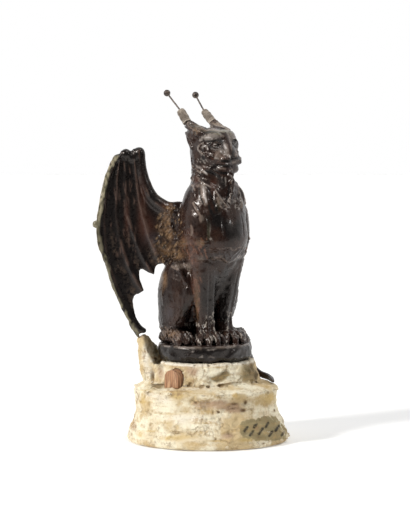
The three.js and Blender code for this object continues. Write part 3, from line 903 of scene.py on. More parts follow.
def beard(clay):
    """A twisted strand of hair from the chin down to the point of the collar."""
    core = [
        (0, -25.6, 202, 2.2, 2.4),
        (0, -27.4, 197.6, 2, 2),
        (0.2, -28.2, 192, 1.8, 1.8),
        (0, -28.4, 186, 1.6, 1.6),
        (-1.4, -28.8, 180.6, 1.3, 1.3),
        (-3.2, -28.8, 174.6, 0.6, 0.6),
    ]
    clay.add(Limb([
        (-1, -20.6, 200, 6.2, 5),
        (-1, -23, 193, 5.8, 4.8),
        (-0.6, -23.6, 187, 5.4, 4.4),
        (0, -24, 181, 4.4, 3.4),
    ]), 3)
    clay.add(Limb(core), 0.6)
    path = smooth(np.array(core, float)[:, :4], np.linspace(0, 1, 34))
    for start in (0, math.pi):
        strand = []
        for k, (x, y, z, a) in enumerate(path):
            out, angle = a * 0.85, 0.55 * k + start
            strand.append((x + out * math.cos(angle), y + out * math.sin(angle), z, 0.3 + 0.36 * a))
        clay.add(Limb(strand, pieces=1), 0.2)
    ring = [(1.5 * math.cos(t) - 0.4, -30, 193.4 + 1.6 * math.sin(t), 0.6)
            for t in np.linspace(0, 2 * math.pi, 9)]
    clay.add(Limb(ring, pieces=2), 0.2)
    clay.add(Egg((-0.4, -29, 193.4), (1.8, 1.4, 1.9)), 0.3)
    for side in BOTH:
        wisp = [(2.72, -25, 198.6, 0.9), (3.4, -25, 192, 1), (3.06, -25.4, 186, 0.4)]
        clay.add(Limb(wisp, side=side), 1.2)


# Locks of the collar and their rims: picture spots and half width in millimetres
COLLAR_LOCKS = (
    ([(202.6, 183), (203.6, 188.5), (204.8, 195), (206, 200.5), (206.4, 205.4)], 3.1),
    ([(215.6, 190.6), (217.6, 196.4), (219.6, 202), (221.6, 208)], 2.2),
    ([(223.6, 197.4), (225.6, 202.6), (227.4, 207)], 1.6),
    ([(194.4, 184.4), (194.6, 192), (196, 200)], 1.8),
)
COLLAR_RIMS = (
    ([(202.2, 181.8), (199.6, 185), (200, 190), (201.4, 196), (203.6, 201), (206.3, 205.9)], 0.8),
    ([(202.2, 181.8), (206.4, 184.8), (210.8, 187.6), (215.4, 189.6)], 0.7),
    ([(215.5, 189.5), (217, 193.8), (220.6, 197.6), (223, 201.6), (225.2, 204), (227.5, 206.9)], 0.85),
    ([(215, 193), (215.2, 200.4), (218.4, 205.6), (221.9, 209)], 0.7),
    ([(216.4, 199), (218.6, 203.4), (220.4, 202.6), (219.4, 199)], 0.5),
)
CURLS_POINT = [(223.6, 200.4), (227.6, 201), (229.6, 204.4), (227.4, 208.6), (224.6, 206)]


def collar(clay, random):
    """The band round the neck, with its locks, their rims and the curls at its point."""
    for side in BOTH:
        clay.add(Limb([
            (0, -26.4, 177, 2.6, 1.8),
            (7, -23.6, 184, 2.8, 1.8),
            (12.4, -16.6, 190, 2.4, 1.5),
            (14.4, -8.4, 194, 2, 1.2),
            (14.2, 2, 196, 1.2, 0.8),
        ], across=UPRIGHT, side=side), 2)
    for spots, width in COLLAR_LOCKS:
        stroke(clay, spots, width, -0.38 * width, 1, ends=0.3)
    for rim, radius in COLLAR_RIMS:
        stroke(clay, rim, radius, 0.25, 0.3)
    scatter(clay, random, CURLS_POINT, 14, 0.7)


# Figure: wings

WING_RIBS = [np.array(rib, float) for rib in (
    [
        (47.8, 211), (54.2, 197), (57.6, 181), (60.6, 160), (59.4, 146),
        (55, 133), (47.8, 110), (37.6, 89), (29.5, 76.8),
    ], [
        (44, 213), (51.4, 194), (54, 176), (55, 160), (53.6, 142),
        (48.6, 122), (41, 103), (33.5, 88), (28.2, 78),
    ], [
        (42, 216), (44.6, 200), (45.4, 185), (45.6, 168), (43.4, 152),
        (39.5, 137.5), (34, 124), (28.6, 114.4), (25.4, 110.8),
    ], [
        (38, 213.6), (38.6, 200), (38.6, 182), (36.8, 166), (33.4, 155),
        (28.4, 142), (24, 132.6), (20.6, 126.4), (17.8, 123),
    ], [
        (33, 218), (31.6, 203), (30, 188), (28, 176), (25.4, 165),
        (22, 153), (18, 142), (14.6, 135), (11, 131.4),
    ], [
        (28.6, 217.6), (27.4, 203), (23.8, 190), (18.4, 179.6), (8, 172.6),
        (-3, 165), (-6, 152), (-6, 138), (-3, 122),
    ], [
        (24.8, 213), (23.6, 203), (20, 190.6), (14.6, 182.2), (7, 178),
        (-5, 177), (-10, 160), (-10, 140), (-8, 122),
    ],
)]
WING_SCALLOPS = (0.01, 0.17, 0.23, 0.07, 0, 0)
WING_HALVES = (2.9, 2.4, 2.6, 2.6, 2.6, 4, 1.2)
WING_TAPER = (0.55, 0.55, 0.55, 0.55, 0.65, 1.4, 2)
WING_WEB = 0.55
# The last span is the web down to the trunk, which has no hollows
WING_LAST_SPAN = len(WING_RIBS) - 2
# Samples along a rib and across a span, cells that the sheet is spread by, and points of the rim
WING_ALONG, WING_ACROSS, WING_SPREAD, WING_RIM = 620, 56, 8, 60
WING_CELL = 0.5
WING_LOW = np.array((-14, 72))
WING_HIGH = np.array((66, 222))


class WingMap:
    """Front and back of the leathery sheet, and the way to its outline, over the wing's plane."""

    def __init__(self):
        count = ((WING_HIGH - WING_LOW) / WING_CELL).astype(int) + 1
        sheets = [np.zeros(count) for _ in range(3)]
        self.front, self.back, self.crest = sheets
        weight = np.zeros(count)
        t = np.linspace(0, 1, WING_ALONG)
        halves = [h * (1 + (taper - 1) * t) for h, taper in zip(WING_HALVES, WING_TAPER)]
        lower = []
        for span in range(len(WING_RIBS) - 1):
            for w in np.linspace(0, 1, WING_ACROSS):
                hollow = 4 * w * (1 - w)
                crest = math.exp(-(w / 0.1) ** 2) + math.exp(-((1 - w) / 0.1) ** 2)
                reach = t * (1 - WING_SCALLOPS[span] * hollow)
                inner, outer = (smooth(rib, reach) for rib in WING_RIBS[span:span + 2])
                place = (1 - w) * inner + w * outer
                half = (1 - w) * halves[span] + w * halves[span + 1]
                web = WING_WEB * hollow if span < WING_LAST_SPAN else 0
                proud = 0.55 * crest * (1 - 0.5 * t) if span < WING_LAST_SPAN else 0
                cell = tuple(np.round((place - WING_LOW) / WING_CELL).astype(int).T)
                values = (half * (1 - web) + proud, half * (1 - 0.6 * web), crest)
                for sheet, value in zip(sheets, values):
                    np.add.at(sheet, cell, value)
                np.add.at(weight, cell, 1)
                lower.append(place[-1])
        filled = weight > 0
        for sheet in sheets:
            sheet[filled] /= weight[filled]
        for _ in range(WING_SPREAD):
            self.spread(filled)
        ends = np.linspace(0, 1, WING_RIM)
        rim, root = smooth(WING_RIBS[0], ends), smooth(WING_RIBS[-1], ends)[::-1]
        top = np.array([rib[0] for rib in WING_RIBS[::-1]])
        outline = np.vstack((rim, np.array(lower), root, top[1:-1]))
        self.rim = rim
        axes = (WING_LOW[k] + WING_CELL * np.arange(count[k]) for k in range(2))
        self.edge = polygon_distance(*np.meshgrid(*axes, indexing="ij"), outline)

    def spread(self, filled):
        """Carries the thickness one cell past the cells that have it."""
        shifts = [(axis, step) for axis in (0, 1) for step in (-1, 1)]
        near = sum(np.roll(filled, step, axis).astype(float) for axis, step in shifts)
        new = ~filled & (near > 0)
        for sheet in (self.front, self.back):
            total = sum(np.roll(sheet * filled, step, axis) for axis, step in shifts)
            sheet[new] = total[new] / near[new]
        filled |= new

    def rim_at(self, z):
        """How far out the rim is at a height."""
        return np.interp(z, self.rim[::-1, 1], self.rim[::-1, 0])

    def look(self, sheet, s, z):
        """A map's value at places of the wing's plane; s and z broadcast."""
        i = np.clip((s - WING_LOW[0]) / WING_CELL, 0, sheet.shape[0] - INSIDE_LAST)
        j = np.clip((z - WING_LOW[1]) / WING_CELL, 0, sheet.shape[1] - INSIDE_LAST)
        i0, j0 = i.astype(int), j.astype(int)
        di, dj = i - i0, j - j0
        return ((1 - di) * (1 - dj) * sheet[i0, j0] + di * (1 - dj) * sheet[i0 + 1, j0]
                + (1 - di) * dj * sheet[i0, j0 + 1] + di * dj * sheet[i0 + 1, j0 + 1])


WING = WingMap()


def wing_cup(s):
    """How far the sheet bows forward at a place along the wing."""
    return WING_CUP * np.maximum(0, (s - WING_CUP_START) / WING_CUP_SPAN) ** 2


def wing_plane(x, y, side):
    """Places on the flat wing: how far out, and how far in front of the cupped sheet."""
    across, back = x * side - WING_ROOT[0], y - WING_ROOT[1]
    s = across * math.cos(WING_SWEEP) + back * math.sin(WING_SWEEP)
    forward = across * math.sin(WING_SWEEP) - back * math.cos(WING_SWEEP)
    return s, forward - wing_cup(s)


def wing_place(side, s, forward, z):
    """The way back from wing_plane."""
    ahead = forward + wing_cup(s)
    x = WING_ROOT[0] + s * math.cos(WING_SWEEP) + ahead * math.sin(WING_SWEEP)
    y = WING_ROOT[1] + s * math.sin(WING_SWEEP) - ahead * math.cos(WING_SWEEP)
    return x * side, y, z


def wing_limb(side, rows):
    """A limb on the wing, from rows of the places s, forward and z and the radius."""
    return Limb([(*wing_place(side, s, forward, z), radius) for s, forward, z, radius in rows])


def wing_sheet(side):
    def distance(x, y, z):
        s, forward = wing_plane(x, y, side)
        front = WING.look(WING.front, s, z)
        back = WING.look(WING.back, s, z)
        edge = WING.look(WING.edge, s, z)
        sheet = np.maximum(forward - front, -back - forward)
        return -soft_min(-sheet, -edge, 1.2)

    xs = sorted((-9 * side, 70 * side))
    return Formula((xs[0], 8, WING_LOW[1] + 2), (xs[1], 66, WING_HIGH[1]), distance)


def wing(clay, side):
    clay.add(wing_sheet(side), 3)
    for s, z, radius in ((38.4, 213.4, 4.3), (28.8, 214, 4.4), (33.4, 211, 3.6), (44.6, 210.6, 3)):
        clay.add(Egg(wing_place(side, s, 0.6, z), (radius, radius * 0.85, radius)), 1.2)
    # Rough bar along the outer rim, with the spur that stands out of it
    bar = []
    for k, (s, z) in enumerate(smooth(WING.rim, np.linspace(0, 0.97, 14))):
        wobble = 0.5 * math.sin(2.3 * k) + 0.3 * math.sin(5.1 * k)
        bar.append((s - 1.9, 0.8 + wobble * 0.5, z, 2 - 0.06 * k + 0.25 * wobble))
    clay.add(wing_limb(side, bar), 0.8)
    clay.add(Egg(wing_place(side, 61.2, 0, 161), (2.2, 2.2, 2.8)), 0.8)
    # Knobs where the sheet ends on the prop
    clay.add(wing_limb(side, ((33, 0, 88, 2.4), (28.4, 0.6, 81.5, 2.6), (25.6, 1, 80.6, 2))), 1)
    clay.add(wing_limb(side, ((35, 0.4, 86, 2), (31.6, 0.4, 80, 1.7), (29.4, 0.4, 76, 1))), 0.8)
    # Muscle of the arm, from the shoulder up to the wrist
    arm = smooth(WING_RIBS[5], np.linspace(0.02, 0.62, 8))
    clay.add(wing_limb(side, [(s, 0.6, z, 3.2 + 0.3 * k) for k, (s, z) in enumerate(arm)]), 2)


# Figure: tail, slab and fur

TAIL = [
    (2, 31, 84, 6, 6),
    (13, 31.5, 76.4, 5, 5),
    (24, 21, 75.6, 4.6, 4.4),
    (28, 7, 75.4, 4.4, 4.2),
    (25.5, -5, 75.6, 4.3, 4.2),
    (21.5, -12, 76.8, 4.4, 4.4),
    (28, -11.6, 70.5, 4.2, 4),
    (32, -6.4, 63, 3.6, 3.4),
    (41, -0.6, 56, 3, 2.9),
    (43.9, -0.8, 49.4, 2.6, 2.5),
    (46, -7, 45.4, 2.5, 2.1),
    (46, -15, 44.2, 2.4, 1.9),
    (43, -23.5, 43.2, 2, 1.6),
    (38.4, -31, 42.6, 1, 0.9),
]


def ring_profile(levels, seed, x, y, z):
    """Distance to stacked uneven rings of (radius, z, shift to the back, roughness)."""
    rows = np.array(levels, float)
    heights = rows[:, 1]
    shift = np.interp(z, heights, rows[:, 2])
    rough = np.interp(z, heights, rows[:, 3])
    phase = seed + 0.35 * np.interp(z, heights, np.arange(len(rows)))
    angle = np.arctan2(y - shift, x)
    radius = np.interp(z, heights, rows[:, 0]) * uneven(angle, phase, rough)
    slope = np.gradient(np.interp(z.ravel(), heights, rows[:, 0]), z.ravel()) if z.size > 1 else 0
    tilt = 1 / np.sqrt(1 + np.asarray(slope).reshape(z.shape) ** 2)
    return (np.hypot(x, y - shift) - radius) * tilt


def slab_form(grow=0.0):
    """The figure's own round slab, with an uneven rim."""
    bottom = TIER_TOP_Z + GAP
    levels = [
        (SLAB_RADIUS - 1.6 + grow, bottom - grow, TIER_SHIFT_Y, 0.02),
        (SLAB_RADIUS + grow, bottom + 3.5, TIER_SHIFT_Y, 0.02),
        (SLAB_RADIUS + 0.2 + grow, SLAB_TOP_Z - 3.5, TIER_SHIFT_Y, 0.02),
        (SLAB_RADIUS - 0.6 + grow, SLAB_TOP_Z + grow, TIER_SHIFT_Y, 0.02),
    ]

    def distance(x, y, z):
        side = ring_profile(levels, 1.7, x, y, z)
        ends = np.maximum(z - SLAB_TOP_Z - grow, bottom - grow - z)
        return -soft_min(-side, -ends, 1.6)

    most = SLAB_RADIUS * 1.03 + grow
    low = (-most, TIER_SHIFT_Y - most, bottom - grow)
    return Formula(low, (most, TIER_SHIFT_Y + most, SLAB_TOP_Z + grow), distance)


# Lower edge of the chest, and locks that hang over it, as picture spots
CHEST_EDGE = [
    (190, 260), (196, 259), (203, 258.4), (208.4, 260), (214, 262.4), (220, 260.4), (226.5, 265.4),
    (232, 263),
]
CHEST_LOCKS = (
    [(203, 249), (206, 253), (208, 258)], [(209, 247), (212.6, 252), (214, 260)],
    [(215, 248.4), (218.6, 253), (219.6, 259)], [(221, 247.4), (224, 252.4), (226.4, 263)],
    [(227, 248), (230, 253), (231.4, 260.6)], [(196, 252), (199, 255), (200, 259)],
    [(212, 250.6), (216, 250.4), (220, 251.6)], [(223, 251), (227, 250.8), (231, 252)],
)
# Folds and creases of the trunk, the shoulder and the legs: picture spots and radius in millimetres
BODY_GROOVES = (
    ([(203, 206), (206, 214), (209, 224), (208.4, 234), (209.4, 243), (207.4, 254)], 0.9),
    ([(189, 262), (189.6, 270.3), (190.8, 278), (191.5, 287.5), (192.7, 293)], 1.2),
    ([(176.8, 301), (175.5, 313), (169, 322.6), (164, 332)], 0.9),
    ([(171, 203), (172.3, 214), (173.6, 224), (178, 236)], 0.8),
    ([(191.5, 225), (192.1, 230.7), (190.8, 234.5), (194.6, 240)], 0.7),
    ([(209.6, 268), (209.4, 290), (208.6, 312), (209.6, 324)], 0.9),
    ([(240.6, 214), (243, 224), (244, 236)], 0.7),
)
BODY_RIDGES = (
    ([(171.6, 205), (171, 212), (166.6, 218), (162.8, 223), (160.2, 229.4)], 0.8),
    ([(171, 264.4), (175.5, 262.6), (184.4, 263.4), (190, 269)], 1.0),
    ([(184.4, 303), (180.6, 310.5), (177.4, 319.4), (174.2, 324)], 0.9),
    ([(184, 228), (189, 234), (193, 240)], 0.6),
    ([(241, 202), (243, 206), (241.6, 210.4), (244.8, 214)], 0.8),
    ([(193, 203), (195, 207), (198.4, 213)], 1.2),
)
# Rows of hair: both ends of the first lock, the step from lock to lock, and how many there are;
# each lock sags a little in its middle
HAIR_SAG = 0.8
HAIR_ROWS = (
    ([(166, 209), (170, 212)], (-1.2, 3.6), 5), ([(177, 222), (182, 231)], (-2.6, 3.2), 1),
    ([(180, 240), (185.4, 240.8)], (-0.4, 3), 3), ([(199.7, 240), (208, 241)], (0, 2.8), 2),
    ([(166.6, 327), (180, 325.8)], (2.4, 4.6), 3), ([(172, 266), (180, 266)], (1.6, 2), 3),
)


def body_details(clay):
    """Creases, ridges and rows of hair that the picture shows below the collar."""
    stroke(clay, CHEST_EDGE, 1.4, 0.9, 1.8, carve=True)
    for lock in CHEST_LOCKS:
        stroke(clay, lock, 0.55, 0, 0.5, ends=0.3)
    for line, radius in BODY_RIDGES:
        stroke(clay, line, radius, -0.1, 0.8)
    for line, radius in BODY_GROOVES:
        stroke(clay, line, radius, 0.25, 0.9, carve=True)
    for ends, step, rows in HAIR_ROWS:
        start, end = np.array(ends)
        for row in range(rows):
            shift = np.array(step) * row
            middle = (start + end) / 2 + shift + (0, HAIR_SAG)
            stroke(clay, [start + shift, middle, end + shift], 0.5, 0.15, 0.3)


# Coats of fur: picture outline, height in millimetres, length of a lock along x, y and z, and how
# much its locks lean back
FUR_COATS = (
    ([(165, 204), (180, 206), (187, 222), (191, 238), (190, 262), (176, 268), (154, 262), (150, 240),
     (158, 222)], 0.55, (1.2, 2.8, 1.3), 0.8),
    ([(183, 236), (210, 238), (212, 258), (190, 272), (182, 264)], 0.36, (1.3, 1.5, 2.6), 0.0),
    ([(189, 262), (206, 266), (208, 328), (190, 328)], 0.34, (1.3, 1.3, 3.6), 0.0),
    ([(158, 262), (186, 262), (192, 272), (184, 280), (166, 282), (156, 280)], 0.16, (1.4, 1.9, 1.9),
     0.4),
    ([(154, 284), (190, 284), (192, 342), (156, 342)], 0.24, (1.4, 1.5, 4.2), 0.2),
    ([(158, 322), (248, 316), (250, 345), (158, 345)], 0.55, (1.2, 1.4, 1.8), 0.0),
    ([(188, 166), (199, 174), (203, 182), (198, 184), (191, 188), (187, 184)], 0.36, (1.3, 1.6, 2.0),
     0.0),
    ([(200, 152), (213, 152), (215, 168), (206, 170), (197, 160)], 0.42, (1.2, 1.4, 1.4), 0.0),
    ([(215, 153), (226, 150), (232, 158), (222, 160.6), (215, 160)], 0.28, (1.1, 1.1, 1.1), 0.0),
    ([(190, 247), (207, 246), (246, 246), (246, 258), (226, 264), (207, 258), (192, 258)], 0.2,
     (3.6, 3.6, 1.1), 0.5),
    ([(222, 178), (234, 174), (236, 206), (228, 212), (220, 204)], 0.3, (1.2, 1.2, 1.5), 0.0),
    ([(236, 192), (248, 198), (250, 226), (240, 224), (238, 208)], 0.36, (1.6, 1.6, 1.8), 0.0),
    ([(192, 124), (201, 127), (203, 134), (196, 139), (188, 134)], 0.42, (1.3, 1.5, 1.4), 0.0),
    ([(200, 124), (222, 124), (222, 130), (206, 131)], 0.2, (1.3, 2.8, 1.3), 0.0),
    ([(207, 266), (240, 266), (240, 322), (207, 326)], 0.2, (1.4, 1.4, 3.6), 0.0),
)


# What is taken off the curls, so that a coat adds as much as it takes away, and the least share of
# a coat that is worked out
FUR_LEVEL = 0.62
FUR_LEAST = 0.02


def fur_coats(x, y, z):
    """Curly and combed hair, each coat where the picture shows it."""
    total = np.zeros_like(x)
    for number, (corners, height, (along_x, along_y, along_z), lean) in enumerate(FUR_COATS):
        mask = zone_mask(x, y, z, corners)
        rows = np.nonzero(mask > FUR_LEAST)[0]
        u, v, w = np.abs(x[rows]), y[rows], z[rows] + lean * y[rows]
        warp = 0.9 * noise(u / 4, v / 4, w / 4, 101 + number)
        curls = noise((u + warp) / along_x, (v + warp) / along_y, (w + warp) / along_z, 121 + number)
        total[rows] += height * mask[rows] * (np.abs(curls) * 2 - FUR_LEVEL)
    return total


def fur_strength(x, y, z):
    """Slight unevenness everywhere, and the coats of fur on top of it."""
    lumps = noise(x / 6, y / 6, z / 6, 4)
    grain = noise(x / 1.5, y / 1.5, z / 1.9, 5)
    on_slab = 1 - ramp(z, 71, 76)
    wings = ramp(np.hypot(x, y), 44, 50)
    coats = fur_coats(x, y, z) * (1 - on_slab) * (1 - wings) * (y < 30)
    return coats + 0.2 * lumps + 0.09 * grain * (1 - wings)


def slab_strength(x, y, z):
    return 0.7 * noise(x / 8, y / 8, z / 5, 21) + 0.45 * noise(x / 3, y / 3, z / 2.4, 22)


def wing_strength(x, y, z):
    """Leathery wrinkles across the membranes and a chipped outer rim."""
    s, forward = wing_plane(np.abs(x), y, 1)
    out = ramp(s, 10, 18) * (z > 76)
    rim_s = WING.rim_at(z)
    rim = ramp(s, rim_s - 4.5, rim_s - 2.5)
    folds = 0.13 * noise(s / 3.4, forward / 3, z / 7, 31) * out
    wrinkles = 0.07 * noise(s / 1.4, forward / 2, z / 2.2, 32) * out
    return folds + wrinkles + 0.34 * noise(s / 2.2, forward / 2.2, z / 4.2, 33) * rim * out


def clay_for(node, step):
    """Clay with room for a node of the frame."""
    low, high = (np.array(corner) / MM - (0, 0, LIFT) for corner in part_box(node))
    return Clay(low, high, step)


# How near the surface a brush works, in millimetres
FIGURE_BRUSH, PLINTH_BRUSH, SMALL_BRUSH = 1.6, 3.2, 1


def sculpt_figure():
    clay = clay_for("chimera", FIGURE_STEP)
    trunk(clay)
    for side in BOTH:
        hind_leg(clay, side)
        front_leg(clay, side)
    skull(clay)
    for build in (wing, horn):
        for side in BOTH:
            build(clay, side)
    face(clay)
    collar(clay, np.random.default_rng(FIGURE_SEED))
    beard(clay)
    body_details(clay)
    clay.add(slab_form(), 0.8)
    clay.add(Limb(TAIL, across=UPRIGHT), 1)
    for strength, *box in (
        (fur_strength,),
        (slab_strength, (-40, -40, TIER_TOP_Z - 1), (40, 45, SLAB_TOP_Z + 0.4)),
        (wing_strength, (-70, 8, 74), (70, 66, 222)),
    ):
        clay.brush(strength, *box, reach=FIGURE_BRUSH)
    for data in PINS.values():
        clay.carve(sleeve_form(data, GAP), 0)
    return clay


def figure():
    piece = fire("chimera_figure", sculpt_figure(), FIGURE_TRIANGLES)
    mark_figure_zones(piece)
    return piece


# Colours that tint the patina, and where the picture shows them: middle and reach in pixels
REDDISH = (0.055, 0.021, 0.013)
GOLDEN = (0.165, 0.095, 0.050)
# Pale: worn spots such as the knee cap, and painted highlights on the collar lock, brow, shoulder, elbow,
# nose bridge, far pad and the slab's top rim
PALE_AND_PAINTED_HIGHLIGHT = (0.15, 0.115, 0.092)
OLIVE = (0.065, 0.058, 0.036)
# Grey-blue: a tone of the patina and, on the chest fringe, a painted sheen
BLUISH_TONE_AND_SHEEN = (0.036, 0.028, 0.030)
# Near black: the slab's own colour, and painted shade in creases, in the mouth, eyes and nostrils, under
# the jaw, between the legs and on the far leg
BLACK_AND_PAINTED_SHADE = (0.006, 0.005, 0.005)
# Rubbed brown: worn patina, and painted highlights on the cheek rim, forehead, nose, lips, collar locks,
# shoulder and knee, and painted glints in the fur
WORN_AND_PAINTED_HIGHLIGHT = (0.17, 0.125, 0.10)
# Painted sheen and painted glints: highlights laid into the colour
SHEEN = (0.25, 0.215, 0.19)
GLINT = (0.60, 0.55, 0.52)
FAR_HORN = (0.25, 0.195, 0.15)
RIB_BROWN = (0.105, 0.066, 0.052)
# Light grey hair on the paws, as bright as painted glints
PAW_HAIR_AND_GLINT = (0.40, 0.35, 0.30)
HAIR_GOLD = (0.33, 0.21, 0.115)
HAIR_RED = (0.14, 0.064, 0.04)
CROWN_OLIVE = (0.17, 0.15, 0.10)
RIM_GREEN = (0.20, 0.18, 0.115)
PALE_RIM = (0.42, 0.37, 0.25)
# Pale spots on the collar lock, brow, shoulder, elbow and nose bridge are painted highlights; near-black
# spots between the legs, on the far leg, under the jaw and below the nose are painted shade
FIGURE_TONES_AND_PAINTED_LIGHT = (
    (REDDISH, 0.8, (190, 238, 10, 15), (196, 258, 8, 8), (195, 285, 6, 18), (166, 206, 5, 4),
     (142, 205, 4, 24), (148, 228, 8, 14), (127, 215, 2.4, 18), (206, 168, 6, 3), (196, 180, 4, 9),
     (213, 186, 5, 9)),
    (GOLDEN, 0.72, (166, 220, 4, 9), (161, 228, 4, 4), (171.5, 210, 3, 10), (183, 243, 4, 5),
     (167, 250, 10, 8), (178, 256, 8, 5), (170, 234, 5, 8), (197, 305, 2.6, 22), (172, 334, 8, 6),
     (201, 243, 5, 4), (165, 280, 4, 12), (196, 131, 4, 4)),
    (PALE_AND_PAINTED_HIGHLIGHT, 0.85, (203, 192, 3, 9), (208, 137, 7, 2.4), (180, 266, 8, 3.6), (189, 268, 2, 5),
     (189, 124, 3, 4), (221, 156, 6, 4), (203, 193, 3, 9), (202, 218, 3, 3), (201, 259, 3.4, 2.6),
     (228, 141, 2, 6)),
    (OLIVE, 0.8, (211, 131, 11, 2.6), (198, 126, 5, 3), (219, 203, 3, 7), (240, 156, 3, 5),
     (246, 205, 3, 10), (208.5, 232, 1.8, 10)),
    (BLUISH_TONE_AND_SHEEN, 0.75, (170, 313, 6, 12), (224, 256, 17, 5.5), (152, 238, 7, 6), (232, 168, 7, 6)),
    (BLACK_AND_PAINTED_SHADE, 0.85, (186, 312, 5, 12), (154, 200, 4, 16), (117, 190, 8, 22), (214, 300, 6, 30),
     (227, 288, 11, 26), (216, 220, 12, 12), (232, 232, 9, 12), (203, 159, 4, 5), (212, 168, 7, 3),
     (235, 158, 5, 6), (223, 183, 6, 9), (203, 150, 2, 2), (204, 294, 6, 26)),
)


# The far horn's stump is bare and pale where the near one is not
FAR_STAINS = ((FAR_HORN, 1.0, (219, 126, 11, 4.6), (229, 130.6, 4, 3.4)),)
# Painted highlights and painted shade, drawn as lines: colour, strength, then the lines with their half
# widths in pixels
PAINTED_LIGHT_LINES = (
    (WORN_AND_PAINTED_HIGHLIGHT, 0.7, (CHEEK_RIM, 0.6), ([(227.6, 144), (228.6, 149), (229.6, 154)], 1.5),
     ([(217, 150.6), (222, 151.6)], 1.4), ([(214, 128.8), (221, 129.8), (228, 132)], 1.2),
     ([(220, 136.4), (225, 135.6)], 1.3), ([(219.6, 168.6), (226, 168.8)], 0.6),
     ([(192, 166), (198, 170.4), (204, 173)], 0.6)),
    (WORN_AND_PAINTED_HIGHLIGHT, 0.85, ([(201.4, 187), (202.4, 193), (204.6, 199), (206, 204)], 1.6),
     ([(216.4, 152.6), (219, 155), (217.6, 158)], 1.1), ([(206, 130.4), (213, 129.4), (220, 131)], 0.7),
     ([(216.6, 192), (219.6, 198), (223.6, 203.4), (227, 206.6)], 0.6),
     ([(217, 198), (219.4, 204), (222, 208)], 0.8),
     ([(193, 203), (196, 209), (200, 216), (200.6, 222)], 1.2),
     ([(191, 226), (192, 232), (191, 235)], 0.9), ([(245, 206), (245.6, 214)], 1.0),
     ([(172, 266.6), (177.4, 269.6)], 1.0)),
    (BLACK_AND_PAINTED_SHADE, 1.0, ([(209, 143), (213, 141.2), (218, 140.4), (222, 141)], 1.0), (MOUTH, 0.7),
     (CHIN_GROOVE, 0.8), (JAW_SHADE, 1.6), ([(222, 160.6), (227, 161.2), (232, 160.4)], 1.5),
     ([(221.6, 139.6), (222, 144)], 0.7), ([(231.6, 157), (236, 158.4), (239, 158)], 1.6),
     ([(229.4, 186), (228.6, 193), (226.4, 199)], 1.0), ([(234, 184), (233.6, 192), (231.6, 199)], 0.7),
     ([(208.6, 189), (211, 196), (214, 203), (217, 210)], 1.2),
     ([(199.4, 188), (199.8, 196), (203, 203)], 0.8), ([(209, 206), (214, 216), (222, 220)], 1.0),
     ([(209, 144.4), (212.5, 142), (217, 141), (222.4, 142.2), (223.6, 146)], 1.1),
     ([(210, 147.8), (214, 149.6), (218.4, 149.6), (222, 148)], 0.7)),
    (SHEEN, 0.35, ([(200, 139), (204, 137.8), (210, 137.2), (216, 138.4)], 1.4)),
    (SHEEN, 0.6, ([(224.2, 144), (225, 148), (226, 152)], 1.6), ([(206.6, 145.6), (206.8, 149.4)], 1.0),
     ([(206, 136.6), (209.6, 137)], 0.9), ([(205.4, 140), (209, 140)], 0.9),
     ([(202.6, 143.6), (203.6, 146.4)], 1.0), ([(219.6, 149.6), (223, 150.4)], 1.1),
     ([(202, 170), (205, 172.6), (207, 174.4)], 0.9), ([(215, 158), (217, 158.4)], 0.7)),
    (SHEEN, 0.7, ([(213.4, 145.2), (214.6, 144.4), (216, 144.2)], 0.7),
     ([(213.6, 146.4), (216, 147), (219, 146.6)], 0.35),
     ([(211, 148.4), (214, 149.4), (218, 149.4), (221.4, 147.6)], 0.4),
     ([(203, 185.6), (204, 191), (205.4, 197), (206.4, 202.6)], 1.2),
     ([(202.2, 182), (206.4, 184.6), (210.8, 187.2)], 0.5),
     ([(215.6, 190), (219.6, 196.4), (224, 202.6)], 0.5),
     ([(224.4, 145), (226, 147.6), (227.4, 151)], 1.0),
     ([(221.6, 152.4), (225.6, 154), (229.4, 156.4)], 0.9),
     ([(198.6, 146), (198, 149), (200, 152)], 0.7), ([(231.3, 176), (232.4, 179), (231.8, 182)], 0.6),
     ([(231.3, 186.4), (231.6, 192.6), (230, 196.6), (228.5, 201), (227, 205)], 0.5),
     ([(225.5, 178), (226, 185.4)], 0.5), ([(215.6, 157.4), (218.4, 158.8)], 0.7),
     ([(210.6, 239), (213, 240)], 0.9)),
    (BLACK_AND_PAINTED_SHADE, 1.0, ([(217.8, 144.6), (218, 145.6)], 1.0),
     ([(210.4, 146), (212, 147), (215, 147.6), (219, 147)], 0.35),
     ([(203, 140.6), (207, 141), (211, 140.6)], 0.4), ([(206, 133), (211, 131.6), (217, 132.6)], 0.4)),
    (GLINT, 1.0, ([(213.8, 144.2), (214.6, 144)], 0.35), ([(206.4, 137.6), (209.6, 137.6)], 0.6),
     ([(204.6, 171.8), (206, 173)], 0.4), ([(224.4, 145.6), (226, 148)], 0.55),
     ([(207, 149), (208, 149.2)], 0.5), ([(203.2, 188), (203.8, 192), (205, 197.6), (206, 202)], 0.5),
     ([(220.6, 151.4), (221.4, 151.6)], 0.5), ([(229.4, 156.4), (230, 156.8)], 0.5),
     ([(226, 163.8), (227.4, 163.8)], 0.4), ([(211, 138.4), (212, 138.6)], 0.6)),
)
